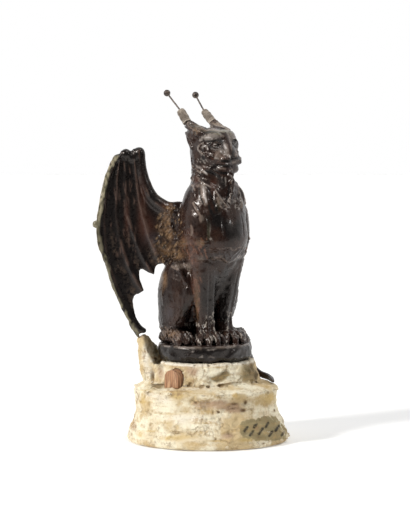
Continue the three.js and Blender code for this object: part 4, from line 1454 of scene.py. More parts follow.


# Hair and fibres, and painted highlights and glints strewn as short strokes: picture outline, count,
# colour, strength, way of a hair and its half width
HAIR_AND_PAINTED_GLINT_DABS = (
    ([(199, 141), (202, 136), (209, 133.4), (218, 134), (217, 139), (206, 139.4)], 46, SHEEN, 0.75,
     (1.8, -0.5), 0.55),
    ([(196, 144), (202, 143), (205, 150), (200, 154), (196, 150)], 7, SHEEN, 0.6, (0.8, 2.2), 0.35),
    ([(213, 151), (222, 150), (230, 158), (222, 162), (213, 158)], 22, WORN_AND_PAINTED_HIGHLIGHT, 0.8, (1.3, 1.3), 0.36),
    ([(210, 150), (222, 149), (230, 157), (222, 164), (210, 160)], 26, REDDISH, 0.95, (0.9, 0.9), 0.34),
    ([(199, 153), (213, 153), (214, 170), (205, 170), (197, 160)], 16, SHEEN, 0.8, (1.2, 1.2), 0.32),
    ([(191, 172), (201, 176), (200, 186), (190, 192)], 16, WORN_AND_PAINTED_HIGHLIGHT, 0.9, (1.6, 1.8), 0.36),
    ([(190, 155), (196, 160), (206, 172), (198, 174), (190, 166)], 8, SHEEN, 0.7, (3.4, 2), 0.32),
    ([(220, 198), (231, 198), (230, 210), (222, 210)], 26, SHEEN, 0.85, (0.9, 1.1), 0.36),
    ([(236, 196), (247, 202), (248, 224), (240, 224)], 16, WORN_AND_PAINTED_HIGHLIGHT, 0.8, (1.0, 1.6), 0.4),
    ([(161, 204), (178, 206), (184, 226), (178, 262), (158, 262), (154, 244), (158, 222)], 90,
     HAIR_GOLD, 0.6, (-1.4, 2.2), 0.3),
    ([(158, 206), (184, 226), (178, 262), (158, 262)], 40, BLACK_AND_PAINTED_SHADE, 0.9, (-1.6, 3), 0.4),
    ([(179, 237), (210, 238), (208, 258), (184, 262)], 30, HAIR_RED, 0.8, (1.0, 3), 0.4),
    ([(160, 326), (184, 324), (186, 342), (160, 341)], 30, WORN_AND_PAINTED_HIGHLIGHT, 0.8, (1.6, 2.4), 0.36),
    ([(184, 320), (244, 322), (242, 343), (186, 343)], 90, PAW_HAIR_AND_GLINT, 0.85, (0.8, 3), 0.34),
    ([(206, 312), (238, 312), (238, 324), (206, 324)], 30, PAW_HAIR_AND_GLINT, 0.7, (-1.6, 2.4), 0.3),
    ([(206, 247), (243, 247), (240, 262), (212, 262)], 22, WORN_AND_PAINTED_HIGHLIGHT, 0.55, (4.5, 1.4), 0.36),
    ([(184, 117), (190, 116), (203, 128), (196, 134), (186, 126)], 12, WORN_AND_PAINTED_HIGHLIGHT, 0.8, (3.6, 3), 0.4),
    ([(186, 118), (198, 127), (200, 136), (192, 134)], 16, BLACK_AND_PAINTED_SHADE, 0.8, (1, 0.8), 0.4),
    ([(206, 129), (222, 131), (218, 134), (205, 132)], 6, CROWN_OLIVE, 0.9, (5, 0.6), 0.6),
    ([(192, 276), (201, 276), (199, 326), (194, 326)], 22, HAIR_RED, 0.8, (0.4, 4.4), 0.34),
    ([(100, 160), (140, 160), (148, 230), (120, 262), (104, 230)], 46, RIB_BROWN, 0.8, (1.5, 9), 0.3),
)
# Painted shade on the far leg and between the legs, painted highlights on the far side of the nose bridge,
# pad and lips, and painted shade at the far nostril, mouth and eye
FAR_PAINTED_LIGHT_LINES = (
    (BLACK_AND_PAINTED_SHADE, 0.75, ([(213, 272), (213, 296), (213.4, 318)], 3.5),
     ([(223, 270), (224, 296), (223, 318)], 6)),
    (PALE_AND_PAINTED_HIGHLIGHT, 0.9, ([(228.4, 133.4), (230.6, 141), (232.4, 149)], 1.3),
     ([(233.6, 134), (235.6, 137.4)], 0.9), ([(238.2, 148), (239.6, 154)], 0.8),
     ([(232.4, 162.4), (235.6, 162)], 0.7), ([(228, 169.6), (232, 169.4)], 0.6)),
    (BLACK_AND_PAINTED_SHADE, 1.0, ([(232, 157.6), (235.6, 158.6), (238.6, 158)], 1.4),
     ([(231.6, 166), (235.4, 167.6)], 0.8), ([(234.6, 141), (235.6, 146)], 1.1),
     ([(233.4, 142), (233.6, 149), (233, 155)], 1.2)),
)


# Painted highlights along the glossy slab
SLAB_PAINTED_HIGHLIGHTS = (
    (SHEEN, 0.8, ([(180, 347.6), (186, 347.2), (193, 347.8)], 0.9), ([(206, 350), (216, 349.4)], 0.4),
     ([(164, 346), (170, 346.6)], 0.5), ([(226, 348), (234, 346.4)], 0.6),
     ([(200, 357), (214, 357.4)], 0.3)),
)


# Pixels beyond a line's own box that are looked at
LINE_REACH = 4


def hair_and_glint_lines():
    """Groups of lines for line_layers, strewn over the outlines of HAIR_AND_PAINTED_GLINT_DABS."""
    random = np.random.default_rng(HAIR_SEED)
    groups = []
    for corners, count, colour, strength, way, width in HAIR_AND_PAINTED_GLINT_DABS:
        lines = []
        for spot in strewn(random, corners, 3 * count)[:count]:
            reach = np.array(way) * random.uniform(0.5, 1.2) + random.uniform(-0.5, 0.5, 2)
            lines.append(([spot, spot + reach / 2 + random.uniform(-0.3, 0.3, 2), spot + reach], width))
        groups.append((colour, strength, *lines))
    return groups


def line_distance(x, y, path):
    """How far picture places are from a line's closest point."""
    return np.min(np.hypot(x[:, None] - path[:, 0], y[:, None] - path[:, 1]), axis=1)


def line_layers(x, y, stains):
    """Colour and strength of each group of lines, at picture places x, y."""
    layers = []
    for colour, strength, *lines in stains:
        total = np.zeros(len(x))
        for spots, width in lines:
            path = smooth(np.array(spots, float), np.linspace(0, 1, 6 * len(spots)))
            (low_x, low_y), (high_x, high_y) = path.min(0) - LINE_REACH, path.max(0) + LINE_REACH
            near = np.nonzero((x > low_x) & (x < high_x) & (y > low_y) & (y < high_y))[0]
            away = line_distance(x[near], y[near], path)
            total[near] = np.maximum(total[near], 1 - ramp(away, 0.5 * width, 1.5 * width + 0.3))
        layers.append((colour, strength * total))
    return layers


def stain_layers(x, y, stains):
    """Colour and strength of each group of soft picture spots, at picture places x, y."""
    layers = []
    for colour, strength, *spots in stains:
        total = 0
        for spot_x, spot_y, reach_x, reach_y in spots:
            total = total + np.exp(-(((x - spot_x) / reach_x) ** 2 + ((y - spot_y) / reach_y) ** 2))
        layers.append((colour, strength * np.minimum(total, 1)))
    return layers


def masked(layers, mask):
    """The layers, each where the mask lets it show."""
    return [(colour, share * mask) for colour, share in layers]


def mark_tint(piece, layers):
    """Lays colours over each other, each where its mask is, in one colour attribute."""
    count = len(piece.data.vertices)
    colour, cover = np.zeros((count, 3)), np.zeros(count)
    for tint, mask in layers:
        mask = np.clip(mask, 0, 1)
        colour = colour * (1 - mask[:, None]) + mask[:, None] * np.array(tint)
        cover = 1 - (1 - cover) * (1 - mask)
    colour /= np.maximum(cover, 1e-3)[:, None]
    layer = piece.data.attributes.new("tint", "FLOAT_COLOR", "POINT")
    layer.data.foreach_set("color", np.column_stack((colour, cover)).astype(np.float32).ravel())


def mark_figure_zones(piece):
    """Tints both sides of the figure as the picture shows its right side, with painted highlights and
    painted shade among the tints.
    """
    places, normals = vertex_rows(piece)
    x, y, z = places.T
    flip = np.column_stack((-np.sign(x), np.ones((len(x), 2))))
    toward = ramp(-((normals * flip) @ VIEW_FORWARD), -0.2, 0.25)
    near = in_picture(np.column_stack((-np.abs(x), y, z)))
    own = in_picture(places)
    # Where each colour may lie
    s, _ = wing_plane(np.abs(x), y, 1)
    on_wing = ramp(s, 6, 16) * (y > 14) * (z > 74)
    rim_s = WING.rim_at(z)
    ragged = rim_s - 0.9 * noise(x / 3, y / 3, z / 4, 65) + 0.8 * ramp(z, 150, 110)
    rim = ramp(s, ragged - 3.6, ragged - 2.4) * on_wing
    behind_rim = ramp(s, rim_s - 8, rim_s - 5) * (1 - ramp(s, rim_s - 5, rim_s - 3)) * on_wing
    crest = ramp(WING.look(WING.crest, s, z) * on_wing, 0.2, 0.9) * ramp(z, 96, 130)
    on_far_horn = ramp(x, 7, 9) * ramp(z, 228, 232) * ramp(noise(x / 1.6, y / 3, z / 2, 69), -1.1, 0.2)
    side_only = toward * (1 - on_wing) * (1 - ramp(x, -0.5, 0.5) * (1 - ramp(x, 6, 9)))
    beyond = ramp(x, -2, 0) * ramp(-(normals @ VIEW_FORWARD), -0.1, 0.2)
    from_axis = np.hypot(x, y - TIER_SHIFT_Y)
    slab = (1 - ramp(z, 71, 72)) * (from_axis < 38) * (z > 57)
    # The pale band along the slab's top rim is a painted highlight
    edge = np.exp(-((z - SLAB_TOP_Z + 0.6) / 0.9) ** 2) * ramp(from_axis, 31.5, 33.5) * (z > 57)
    mark_tint(piece, [
        # The wing sheet darkened all over: its own dark colour, deepened as painted shade on the membranes
        (BLACK_AND_PAINTED_SHADE, on_wing * 0.85),
        *masked(stain_layers(*near, FIGURE_TONES_AND_PAINTED_LIGHT), 0.35 + 0.65 * toward),
        *masked(stain_layers(*own, FAR_STAINS), on_far_horn),
        *masked(line_layers(*near, hair_and_glint_lines()), toward),
        *masked(line_layers(*near, PAINTED_LIGHT_LINES), side_only),
        *masked(line_layers(*own, FAR_PAINTED_LIGHT_LINES), beyond),
        # Brown along the rib crests, partly their own colour and partly a painted highlight
        (RIB_BROWN, 0.7 * crest * ramp(noise(s / 2.5, y / 40, z / 9, 67), -0.6, 0.5)),
        (BLACK_AND_PAINTED_SHADE, 0.7 * behind_rim),
        (RIM_GREEN, 0.9 * rim * ramp(noise(x / 2.2, y / 2.2, z / 3, 62), -0.7, 0.1)),
        (PALE_RIM, 0.9 * rim * ramp(z, 150, 178) * ramp(noise(x / 1.6, y / 1.6, z / 3, 66), -0.1, 0.3)),
        (BLACK_AND_PAINTED_SHADE, 0.8 * slab),
        (PALE_AND_PAINTED_HIGHLIGHT, 0.8 * edge * ramp(noise(x / 3, y / 3, z / 3, 68), -0.5, 0.1)),
        *masked(line_layers(*own, SLAB_PAINTED_HIGHLIGHTS), slab * toward),
    ])


# Plinth

PLINTH_LEVELS = [
    (FOOT_RADIUS - 0.8, -LIFT, 0, 0.006),
    (FOOT_RADIUS, 1, 0, 0.012),
    (FOOT_RADIUS - 2, 8, 0, 0.014),
    (FOOT_RADIUS - 5, 14.5, 0, 0.014),
    (WAIST_RADIUS + 0.6, 21, 2.5, 0.014),
    (WAIST_RADIUS, 27, 4, 0.014),
    (WAIST_RADIUS + 0.6, 33, 3, 0.014),
    (LEDGE_RADIUS, 37, 1.4, 0.014),
    (LEDGE_RADIUS - 0.6, LEDGE_Z, 1.4, 0.014),
    (LEDGE_RADIUS - 5, LEDGE_Z + 2.2, 2, 0.014),
    (TIER_RADIUS + 1.6, TIER_FOOT_Z - 0.6, TIER_SHIFT_Y, 0.014),
    (TIER_RADIUS, TIER_FOOT_Z + 1.2, TIER_SHIFT_Y, 0.016),
    (TIER_RADIUS - 2, 53, TIER_SHIFT_Y, 0.016),
    (TIER_RADIUS - 4.4, TIER_TOP_Z, TIER_SHIFT_Y, 0.016),
]


def plinth_body():
    """All rings of the plinth, from the foot to the upper tier."""
    def distance(x, y, z):
        side = ring_profile(PLINTH_LEVELS, 0.4, x, y, z)
        ends = np.maximum(z - TIER_TOP_Z, -LIFT - z)
        return -soft_min(-side, -ends, 0.8)

    return Formula((-62, -62, -LIFT), (62, 62, TIER_TOP_Z), distance)


# A prop's axis leaves the tier this way, through rings of distance, height and half sizes
PROP_WAY = (0.735, 0.678)
PROP_RINGS = (
    (38, 36, 8.5, 13),
    (39, 48, 8.6, 12),
    (40.4, 58, 9.6, 10.5),
    (42.6, 66, 9, 8.6),
    (44.6, 71, 6.8, 6.6),
    (46.2, PROP_TOP_Z, 3.4, 3.8),
)


def prop_corner(x, y, z):
    """What is cut off a prop, so that a sharp corner faces the front, flat on its outer side."""
    near_x = -np.abs(x)
    across = near_x * RIGHT.x + y * RIGHT.y + PROP_EDGE[0]
    depth = near_x * BACK.x + y * BACK.y - PROP_EDGE[1]
    plane = -(0.80 * across + 0.40 * (z - PROP_EDGE[2]) + 0.45 * depth)
    inside = np.maximum(np.maximum(np.abs(across - 7) - 11, np.abs(z - 66) - 9.5), -depth - 14)
    return np.maximum(plane, inside)


def prop(clay, side):
    """The plaster prop that a wing tip rests on."""
    out = np.array((PROP_WAY[0] * side, PROP_WAY[1], 0))
    clay.add(Limb([(out[0] * d, TIER_SHIFT_Y + out[1] * d, z, along, wide)
                   for d, z, along, wide in PROP_RINGS], across=out), 2)
    low_x, high_x = sorted((14 * side, 52 * side))
    clay.carve(Formula((low_x, 14, 56.5), (high_x, 50, 76), prop_corner), 0.5)


def wing_tip_space(side):
    """Room for the lower tip of the wing, where it rests on its prop."""
    rim = smooth(WING_RIBS[0], np.linspace(0.5, 1, 3))
    return wing_limb(side, [(s, 0, z, 3.2 - 0.4 * k) for k, (s, z) in enumerate(rim)])


# Steps in the plaster: height, height and depth of its waves, waves to a turn and their phase
PLASTER_STEPS = (
    (8.6, 1.6, 0.75, 3, 0.4),
    (31.5, 1.2, 0.5, 4, 2.0),
    (21.5, 2.0, 0.45, 5, 4.1),
    (50, 1.3, 0.45, 3, 1.2),
)


def plaster_steps(x, y, z):
    """Ragged steps where one coat of plaster ends on another."""
    angle = np.arctan2(y, x)
    total = np.zeros_like(x)
    for height, wave, depth, n, phase in PLASTER_STEPS:
        line = height + wave * np.sin(n * angle + phase) + 0.6 * wave * np.sin(2.7 * n * angle + 2 * phase)
        line = line + 1.2 * noise(x / 6, y / 6, 0 * z + height, 41)
        patchy = ramp(noise(x / 16, y / 16, z / 16, 42), -0.5, 0.3)
        total += depth * patchy * (ramp(line - z, -0.4, 0.5) * ramp(z - line, -9, -1.5))
    return total


def plaster_strength(x, y, z):
    """Trowelled, lumpy and pitted plaster; the underside stays flat."""
    angle = np.arctan2(y, x)
    flat = ramp(z, -LIFT + 0.2, 1.5)
    drag = noise(angle * 9, 0 * z, z / 2.2, 51) + 0.5 * noise(angle * 20, 0 * z, z / 1.2, 52)
    lumps = noise(x / 9, y / 9, z / 7, 53) + 0.6 * noise(x / 4.2, y / 4.2, z / 3.6, 54)
    grain = noise(x / 1.7, y / 1.7, z / 1.7, 55)
    pits = ramp(noise(x / 2.6, y / 2.6, z / 2.2, 56), 0.45, 0.75)
    chips = ramp(noise(x / 6.5, y / 6.5, z / 4, 57), 0.42, 0.62)
    flakes = ramp(noise(x / 5, y / 5, z / 2.4, 58), -0.05, 0.08)
    total = 0.34 * drag + 0.5 * lumps + 0.16 * grain - 0.6 * pits - 0.65 * chips + 0.4 * flakes
    return np.clip(flat * (total + 1.5 * plaster_steps(x, y, z)) - 0.55, -2.6, 0.8)


# Marks in the plaster, with picture spots in pixels and sizes in millimetres
PLASTER_GROOVES = (
    ([(164.8, 424.5), (168, 428.4), (171.7, 432), (184, 432.8), (196.2, 432.4), (206, 431.4),
     (208.4, 427.6)], 0.9),
    ([(151, 407.4), (162, 407.6), (177, 407)], 0.6),
    ([(149, 392.6), (160, 393.4), (172, 394), (186, 395.6)], 0.7),
    ([(191, 400.5), (198, 403), (206, 401.4), (213.8, 399.3), (222, 397), (230.6, 395.6), (234, 393)],
     1.2),
    ([(214, 430.2), (226, 428.8), (234, 428), (239.8, 423)], 0.8),
    ([(216.6, 386), (227, 384.4), (238.5, 382.8)], 0.8),
    ([(240, 370.7), (240.4, 377), (239.8, 382.8)], 0.6),
    ([(241.6, 399), (244.6, 402), (247.4, 405.6)], 0.8),
    ([(153.2, 371.6), (153.8, 377), (153.3, 382.8)], 1.0),
    ([(169.2, 395), (170.2, 401)], 0.6),
    ([(187.6, 421), (192, 424), (191, 429)], 0.6),
    ([(214.6, 430), (213.6, 436), (217.4, 441)], 0.6),
    ([(192, 416), (192.6, 410), (198, 407.6)], 0.5),
    ([(141.6, 394), (141, 402), (143.4, 410)], 0.7),
    ([(252, 391), (258, 393.4), (266, 391.6), (272, 392.4)], 0.8),
)
PLASTER_RIDGES = (
    ([(239.6, 434), (247, 437.4), (254, 439), (262, 440.8), (270, 441.4)], 1.3),
    ([(141.6, 341.6), (145.6, 350), (150.4, 360), (155, 369)], 1.6),
    ([(149, 391), (160, 391.6), (172, 392.4), (188, 393.4)], 1.2),
    ([(160, 357), (166, 359), (176, 361.6), (188, 362.4)], 1.1),
    ([(217.6, 384.4), (227, 383), (238.5, 381.4)], 1.0),
    ([(164, 422.8), (168, 426.6), (172, 430.2), (184, 430.8)], 0.9),
)
PLASTER_LUMPS = (
    ((236, 395.4), 2.4), ((163, 362), 1.8), ((141, 336.6), 2.6), ((275, 383), 2.2), ((136, 420), 3),
    ((133, 430), 2.6), ((147, 411), 2.4), ((281, 432), 2.2), ((230, 441), 2),
)
PLASTER_HOLLOWS = (
    ([(206, 381.4), (213, 380), (220, 376.8), (226, 373.4), (231.4, 369)], 3.4, 1.7),
    ([(210, 383.6), (217, 382.4), (224, 378.6), (228, 375)], 2.6, 1.2),
    ([(154, 386), (160, 388), (167, 388.4)], 2.4, 1.2),
    ([(156, 398), (166, 400), (176, 399.4)], 4, 3.2),
    ([(198, 405), (210, 406.4), (222, 404.6)], 4.4, 3.3),
)
PITTED = (
    ([(176, 362), (203, 364), (205, 380), (184, 386), (176, 380)], 46),
    ([(156, 362), (170, 360), (166, 368), (160, 380), (155, 380)], 16),
    ([(190, 396), (246, 392), (250, 412), (196, 416)], 90),
    ([(150, 408), (236, 410), (238, 428), (150, 428)], 70),
    ([(136, 424), (240, 436), (240, 446), (140, 444)], 50),
)


def plaster_details(clay, random):
    """The marks in the plaster that the picture shows, which aren't mirrored."""
    draw = partial(stroke, clay, sides=NEAR_SIDE)
    press = partial(dab, clay, sides=NEAR_SIDE)
    for spots, radius, out in PLASTER_HOLLOWS:
        draw(spots, radius, out, 1, carve=True)
    for spots, radius in PLASTER_RIDGES:
        draw(spots, radius, -0.1 * radius, 0.9)
    for spot, radius in PLASTER_LUMPS:
        press(spot, (radius, radius, radius * 0.8), -0.55 * radius, 1.4)
    for spots, radius in PLASTER_GROOVES:
        draw(spots, radius, 0.1, 0.35, carve=True)
    for corners, count in PITTED:
        for spot in strewn(random, corners, count):
            size = random.uniform(0.5, 1.1)
            press(spot, (size, size, size * 0.7), 0.2, 0.3, carve=True)


# Edges of the plinth that are chipped: radius, height, shift to the back and size of the chips
RAGGED_EDGES = (
    (LEDGE_RADIUS, LEDGE_Z - 0.4, 1.4, 1.8),
    (TIER_RADIUS - 4.2, TIER_TOP_Z, TIER_SHIFT_Y, 1.4),
    (FOOT_RADIUS, 1.5, 0, 1.5),
    (TIER_RADIUS + 0.4, TIER_FOOT_Z, TIER_SHIFT_Y, 1.6),
)
CHIPS_TO_AN_EDGE = 44
CHIPS_CARVED = 0.55


def ragged_edges(clay, random):
    """Chips and lumps along the edges, all the way round."""
    for radius, height, back, size in RAGGED_EDGES:
        for _ in range(CHIPS_TO_AN_EDGE):
            angle = random.uniform(0, 2 * math.pi)
            reach = radius + random.uniform(-0.6, 0.9)
            up = random.uniform(-1.2, 0.8)
            place = (reach * math.cos(angle), back + reach * math.sin(angle), height + up)
            r = size * random.uniform(0.5, 1.1)
            form = Egg(place, (r, r, r * random.uniform(0.5, 0.9)), turn=random.uniform(0, 90))
            if random.random() < CHIPS_CARVED:
                clay.carve(form, 0.5)
            else:
                clay.add(form, 0.9)


def sculpt_plinth():
    random = np.random.default_rng(PLINTH_SEED)
    clay = clay_for("plinth", PLINTH_STEP)
    clay.add(plinth_body(), 0)
    for side in BOTH:
        prop(clay, side)
    ragged_edges(clay, random)
    clay.brush(plaster_strength, reach=PLINTH_BRUSH)
    plaster_details(clay, random)
    # Room for the pieces that stand in the plinth, and its flat underside
    clay.carve(Key(GAP), 0)
    clay.carve(slab_form(GAP + 0.2), 0)
    around_tail = [(x, y, z, a + GAP + 0.3, b + GAP + 0.3) for x, y, z, a, b in TAIL]
    clay.carve(Limb(around_tail, across=UPRIGHT), 0)
    for side in BOTH:
        clay.carve(wing_tip_space(side), 0.4)
    below = Formula((-70, -70, -LIFT - 4), (70, 70, -LIFT + 0.2), lambda x, y, z: z + LIFT + 0 * (x + y))
    clay.carve(below, 0)
    return clay


def plinth():
    piece = fire("plaster_plinth", sculpt_plinth(), PLINTH_TRIANGLES)
    mark_plinth_zones(piece)
    return piece


# Colours that tint the plaster, and where the picture shows them: middle and reach in pixels
# The tan, olive and shade spots on the right of the tiers, on the prop's shaded face and in the hollows
# under the key and the upper tier are painted shade; the white spots on the prop's lit face are painted
# light
STAIN_SHADE = (0.13, 0.095, 0.05)
OLIVE_STAIN_AND_SHADE = (0.23, 0.185, 0.10)
TAN_STAIN_AND_SHADE = (0.56, 0.42, 0.22)
STAIN_PINK = (0.50, 0.355, 0.24)
STAIN_OCHRE = (0.62, 0.45, 0.19)
STAIN_BROWN = (0.10, 0.052, 0.024)
WHITE_STAIN_AND_LIGHT = (0.88, 0.81, 0.67)
PLINTH_STAINS_AND_PAINTED_LIGHT = (
    (WHITE_STAIN_AND_LIGHT, 0.8, (166, 400, 14, 4), (184, 419, 24, 7), (200, 389, 26, 2.4), (190, 440, 20, 3),
     (146, 356, 6, 16), (152, 395, 10, 3), (150, 372, 4, 6)),
    (STAIN_PINK, 0.8, (203, 405, 12, 6), (222, 405, 12, 7), (236, 409, 9, 5), (161, 373, 5, 9),
     (227, 436, 9, 5), (133, 425, 4, 7), (192, 371, 10, 8), (141, 335, 4, 3)),
    (TAN_STAIN_AND_SHADE, 0.85, (262, 401, 14, 9), (248, 360, 7, 10), (240, 398, 8, 5), (250, 378, 8, 5),
     (208, 412, 10, 4), (176, 395, 9, 3), (218, 362, 14, 3)),
    (STAIN_OCHRE, 0.75, (236, 395.4, 4, 3), (140, 434, 5, 5), (176, 438, 24, 4), (246, 440, 12, 3),
     (212, 366, 14, 3), (178, 397, 7, 4), (270, 397, 8, 6), (143, 400, 3, 9)),
    (OLIVE_STAIN_AND_SHADE, 0.9, (217, 379, 9, 4), (226, 374, 6, 4), (156, 350, 3.4, 7), (157, 387, 8, 3.4),
     (160, 362, 4, 6), (247, 372, 6, 10), (243, 429, 4, 8)),
    (STAIN_BROWN, 0.9, (242.8, 410.4, 3.4, 1.7), (274.4, 410.4, 1, 1.8), (245.4, 402.6, 1.6, 2.6),
     (234, 404, 4, 1.2), (153.5, 377, 1, 5), (166, 361.6, 1.6, 1), (257.4, 374, 1, 2)),
    (STAIN_SHADE, 1.0, (251, 362, 3.2, 14), (255.6, 376, 2, 6), (152, 377, 1.6, 8),
     (159, 384.6, 6, 0.8), (184, 386, 12, 0.7), (276, 432, 3, 9)),
    (STAIN_OCHRE, 0.6, (146, 390, 10, 1.4), (180, 391.6, 20, 1.2), (232, 389, 22, 1.4),
     (266, 386.6, 10, 1.6), (142, 402, 8, 1.2), (171, 414, 9, 1.2), (206, 423, 15, 1.1),
     (152, 431, 12, 1.4), (216, 441, 16, 1.2)),
)
PATCH_COLOUR = (0.33, 0.27, 0.14)
PATCH_CORNERS = [
    (239.5, 424), (246, 419), (254, 420), (262, 416.4), (276, 417), (283, 424), (288.6, 432),
    (285, 439), (274, 441), (262, 440.4), (252, 439.4), (243, 437.6), (239.8, 432),
]
# The strokes on the patch stand in for paint marks: they spell nothing
PATCH_STROKES = (
    [(244.6, 431), (247.4, 427.2)], [(250, 435.4), (253, 431.4)], [(254, 427.6), (256.4, 424)],
    [(259, 434), (262.8, 428.4)], [(265.6, 427.2), (268.2, 423)], [(269.4, 435.8), (272.4, 431.4)],
    [(275.6, 430.8), (278.8, 426)], [(281.8, 435.2), (283.6, 432.4)],
)


def mark_plinth_zones(piece):
    """Stains all round by noise, and the stains, painted shade and painted light and the painted patch
    that the picture shows.
    """
    places, normals = vertex_rows(piece)
    x, y, z = places.T
    toward = ramp(-(normals @ VIEW_FORWARD), 0.0, 0.3)
    across, down = in_picture(places)
    cloud = noise(x / 11, y / 11, z / 7, 63)
    around = 1 - 0.9 * toward
    edge = polygon_distance(across, down, np.array(PATCH_CORNERS))
    edge = edge + 1.4 * noise(x / 2.4, y / 2.4, z / 2.4, 61)
    patch = (1 - ramp(edge, -0.6, 0.9)) * toward * (z < 22)
    lip = np.exp(-((z - TIER_TOP_Z + 1) / (1.2 + 0.6 * noise(x / 4, y / 4, z / 9, 64))) ** 2)
    mark_tint(piece, [
        (TAN_STAIN_AND_SHADE, 0.5 * ramp(cloud, 0.1, 0.6) * around),
        (STAIN_PINK, 0.4 * ramp(-cloud, 0.2, 0.6) * around),
        *masked(stain_layers(across, down, PLINTH_STAINS_AND_PAINTED_LIGHT), toward),
        (PATCH_COLOUR, 0.8 * patch),
        (WHITE_STAIN_AND_LIGHT, lip * (np.hypot(x, y - TIER_SHIFT_Y) < TIER_RADIUS)),
    ])
    inked = np.zeros(len(x))
    for line in PATCH_STROKES:
        path = smooth(np.array(line, float), np.linspace(0, 1, 12))
        inked = np.maximum(inked, 1 - ramp(line_distance(across, down, path), 0.9, 1.7))
    mark(piece, "stroke", inked * patch)


# Small pieces

# The key's middle and the way across its face
KEY_CENTRE = (KEY_OUTWARD * (KEY_FACE_DISTANCE - KEY_SIZE[1] / 2)
              + (0, TIER_SHIFT_Y, KEY_FOOT_Z + KEY_SIZE[2] / 2))
KEY_ACROSS = np.cross(UPRIGHT, KEY_OUTWARD)


class Key:
    """The key: an upright block with an arched head."""

    def __init__(self, grow=0.0):
        self.axes = [unit(axis) for axis in (KEY_ACROSS, KEY_OUTWARD, UPRIGHT)]
        self.half = np.array(KEY_SIZE) / 2 + grow

    def reach(self, margin):
        most = np.linalg.norm(self.half) + margin
        return KEY_CENTRE - most, KEY_CENTRE + most

    def distance(self, x, y, z, margin):
        dx, dy, dz = x - KEY_CENTRE[0], y - KEY_CENTRE[1], z - KEY_CENTRE[2]
        across, out, up = (dot(dx, dy, dz, axis) for axis in self.axes)
        spring = KEY_SIZE[2] * 0.05
        rise = self.half[2] - spring
        above = np.maximum(up - spring, 0)
        arch = np.sqrt((across / self.half[0]) ** 2 + (above / rise) ** 2) - 1
        arch = arch * min(rise, self.half[0])
        return np.maximum(np.maximum(arch, -self.half[2] - up), np.abs(out) - self.half[1])


def key_grain(x, y, z):
    u = x * KEY_ACROSS[0] + y * KEY_ACROSS[1]
    v = x * KEY_OUTWARD[0] + y * KEY_OUTWARD[1]
    lines = noise(u / 0.8 + 0.4 * noise(u / 3, v / 3, z / 6, 72), v / 1.6, z / 9, 71)
    cracks = ramp(noise(u / 1.7, v / 3, z / 14, 73), 0.5, 0.7)
    return 0.12 * lines - 0.35 * cracks - 0.12


def wooden_key():
    clay = Clay(KEY_CENTRE - 10, KEY_CENTRE + 10, SMALL_STEP * 1.2)
    clay.add(Key(), 0)
    clay.brush(key_grain, reach=SMALL_BRUSH)
    return fire("key_wood_block", clay, SMALL_TRIANGLES, 0.4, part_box("wooden_key"))


def horn_line(data):
    """Where a sleeve starts, where the pin enters it, and the ball."""
    places = (HORN_END, data["entry"], data["ball"])
    return [np.array((x * data["side"], y, z), float) for x, y, z in places]


def sleeve_form(data, grow=0.0):
    """The sleeve over a horn's end, slightly swollen in its middle."""
    start, end, _ = horn_line(data)
    first = start - unit(end - start) * grow
    return Limb([(*(first + t * (end - first)), (data["cap_radius"] + grow) * part)
                 for t, part in ((0, 0.86), (0.06, 1), (0.5, 1.06), (0.92, 0.98), (1, 0.8))])


def pin_shaft(data, radius, depth):
    """A pin without its ball, sunk by a depth into the sleeve."""
    _, entry, ball = horn_line(data)
    end = entry + unit(entry - ball) * depth
    return Limb([(*place, radius) for place in (ball, (ball + end) / 2, end)], pieces=1)


def horn_cap(label, data):
    form = sleeve_form(data)
    clay = Clay(*form.reach(0.5), SMALL_STEP)
    clay.add(form, 0)
    start, end, _ = horn_line(data)
    along = unit(end - start)
    for t, radius in ((-0.12, 3.4), (1.14, 2.8)):
        clay.carve(Egg(start + t * (end - start), radius), 0.3)

    def worn(x, y, z):
        ring = dot(x - start[0], y - start[1], z - start[2], along)
        lines = noise(x / 0.9, y / 0.9, z / 0.9, 81)
        streaks = noise(x / 1.2 + ring * 0.1, y / 3, z / 3, 82)
        pits = ramp(noise(x / 1.3, y / 1.3, z / 1.3, 83), 0.45, 0.7)
        return 0.08 * lines + 0.14 * streaks - 0.25 * pits + 0.1 * np.sin(ring * 1.4) - 0.1

    clay.brush(worn, reach=SMALL_BRUSH)
    clay.carve(pin_shaft(data, PIN_RADIUS + GAP, 4), 0)
    return fire(f"horn_sleeve_{label}", clay, SMALL_TRIANGLES, 0.5)


def pin(label, data):
    shaft = pin_shaft(data, PIN_RADIUS, 3.5)
    clay = Clay(*shaft.reach(BALL_RADIUS + 0.5), SMALL_STEP)
    clay.add(shaft, 0)
    clay.add(Egg(horn_line(data)[2], BALL_RADIUS - 0.06), 0.5)
    clay.brush(lambda x, y, z: 0.05 * noise(x / 0.8, y / 0.8, z / 0.8, 91) - 0.02, reach=0.6)
    return fire(f"ball_pin_{label}", clay, SMALL_TRIANGLES, 0.4)


# Materials

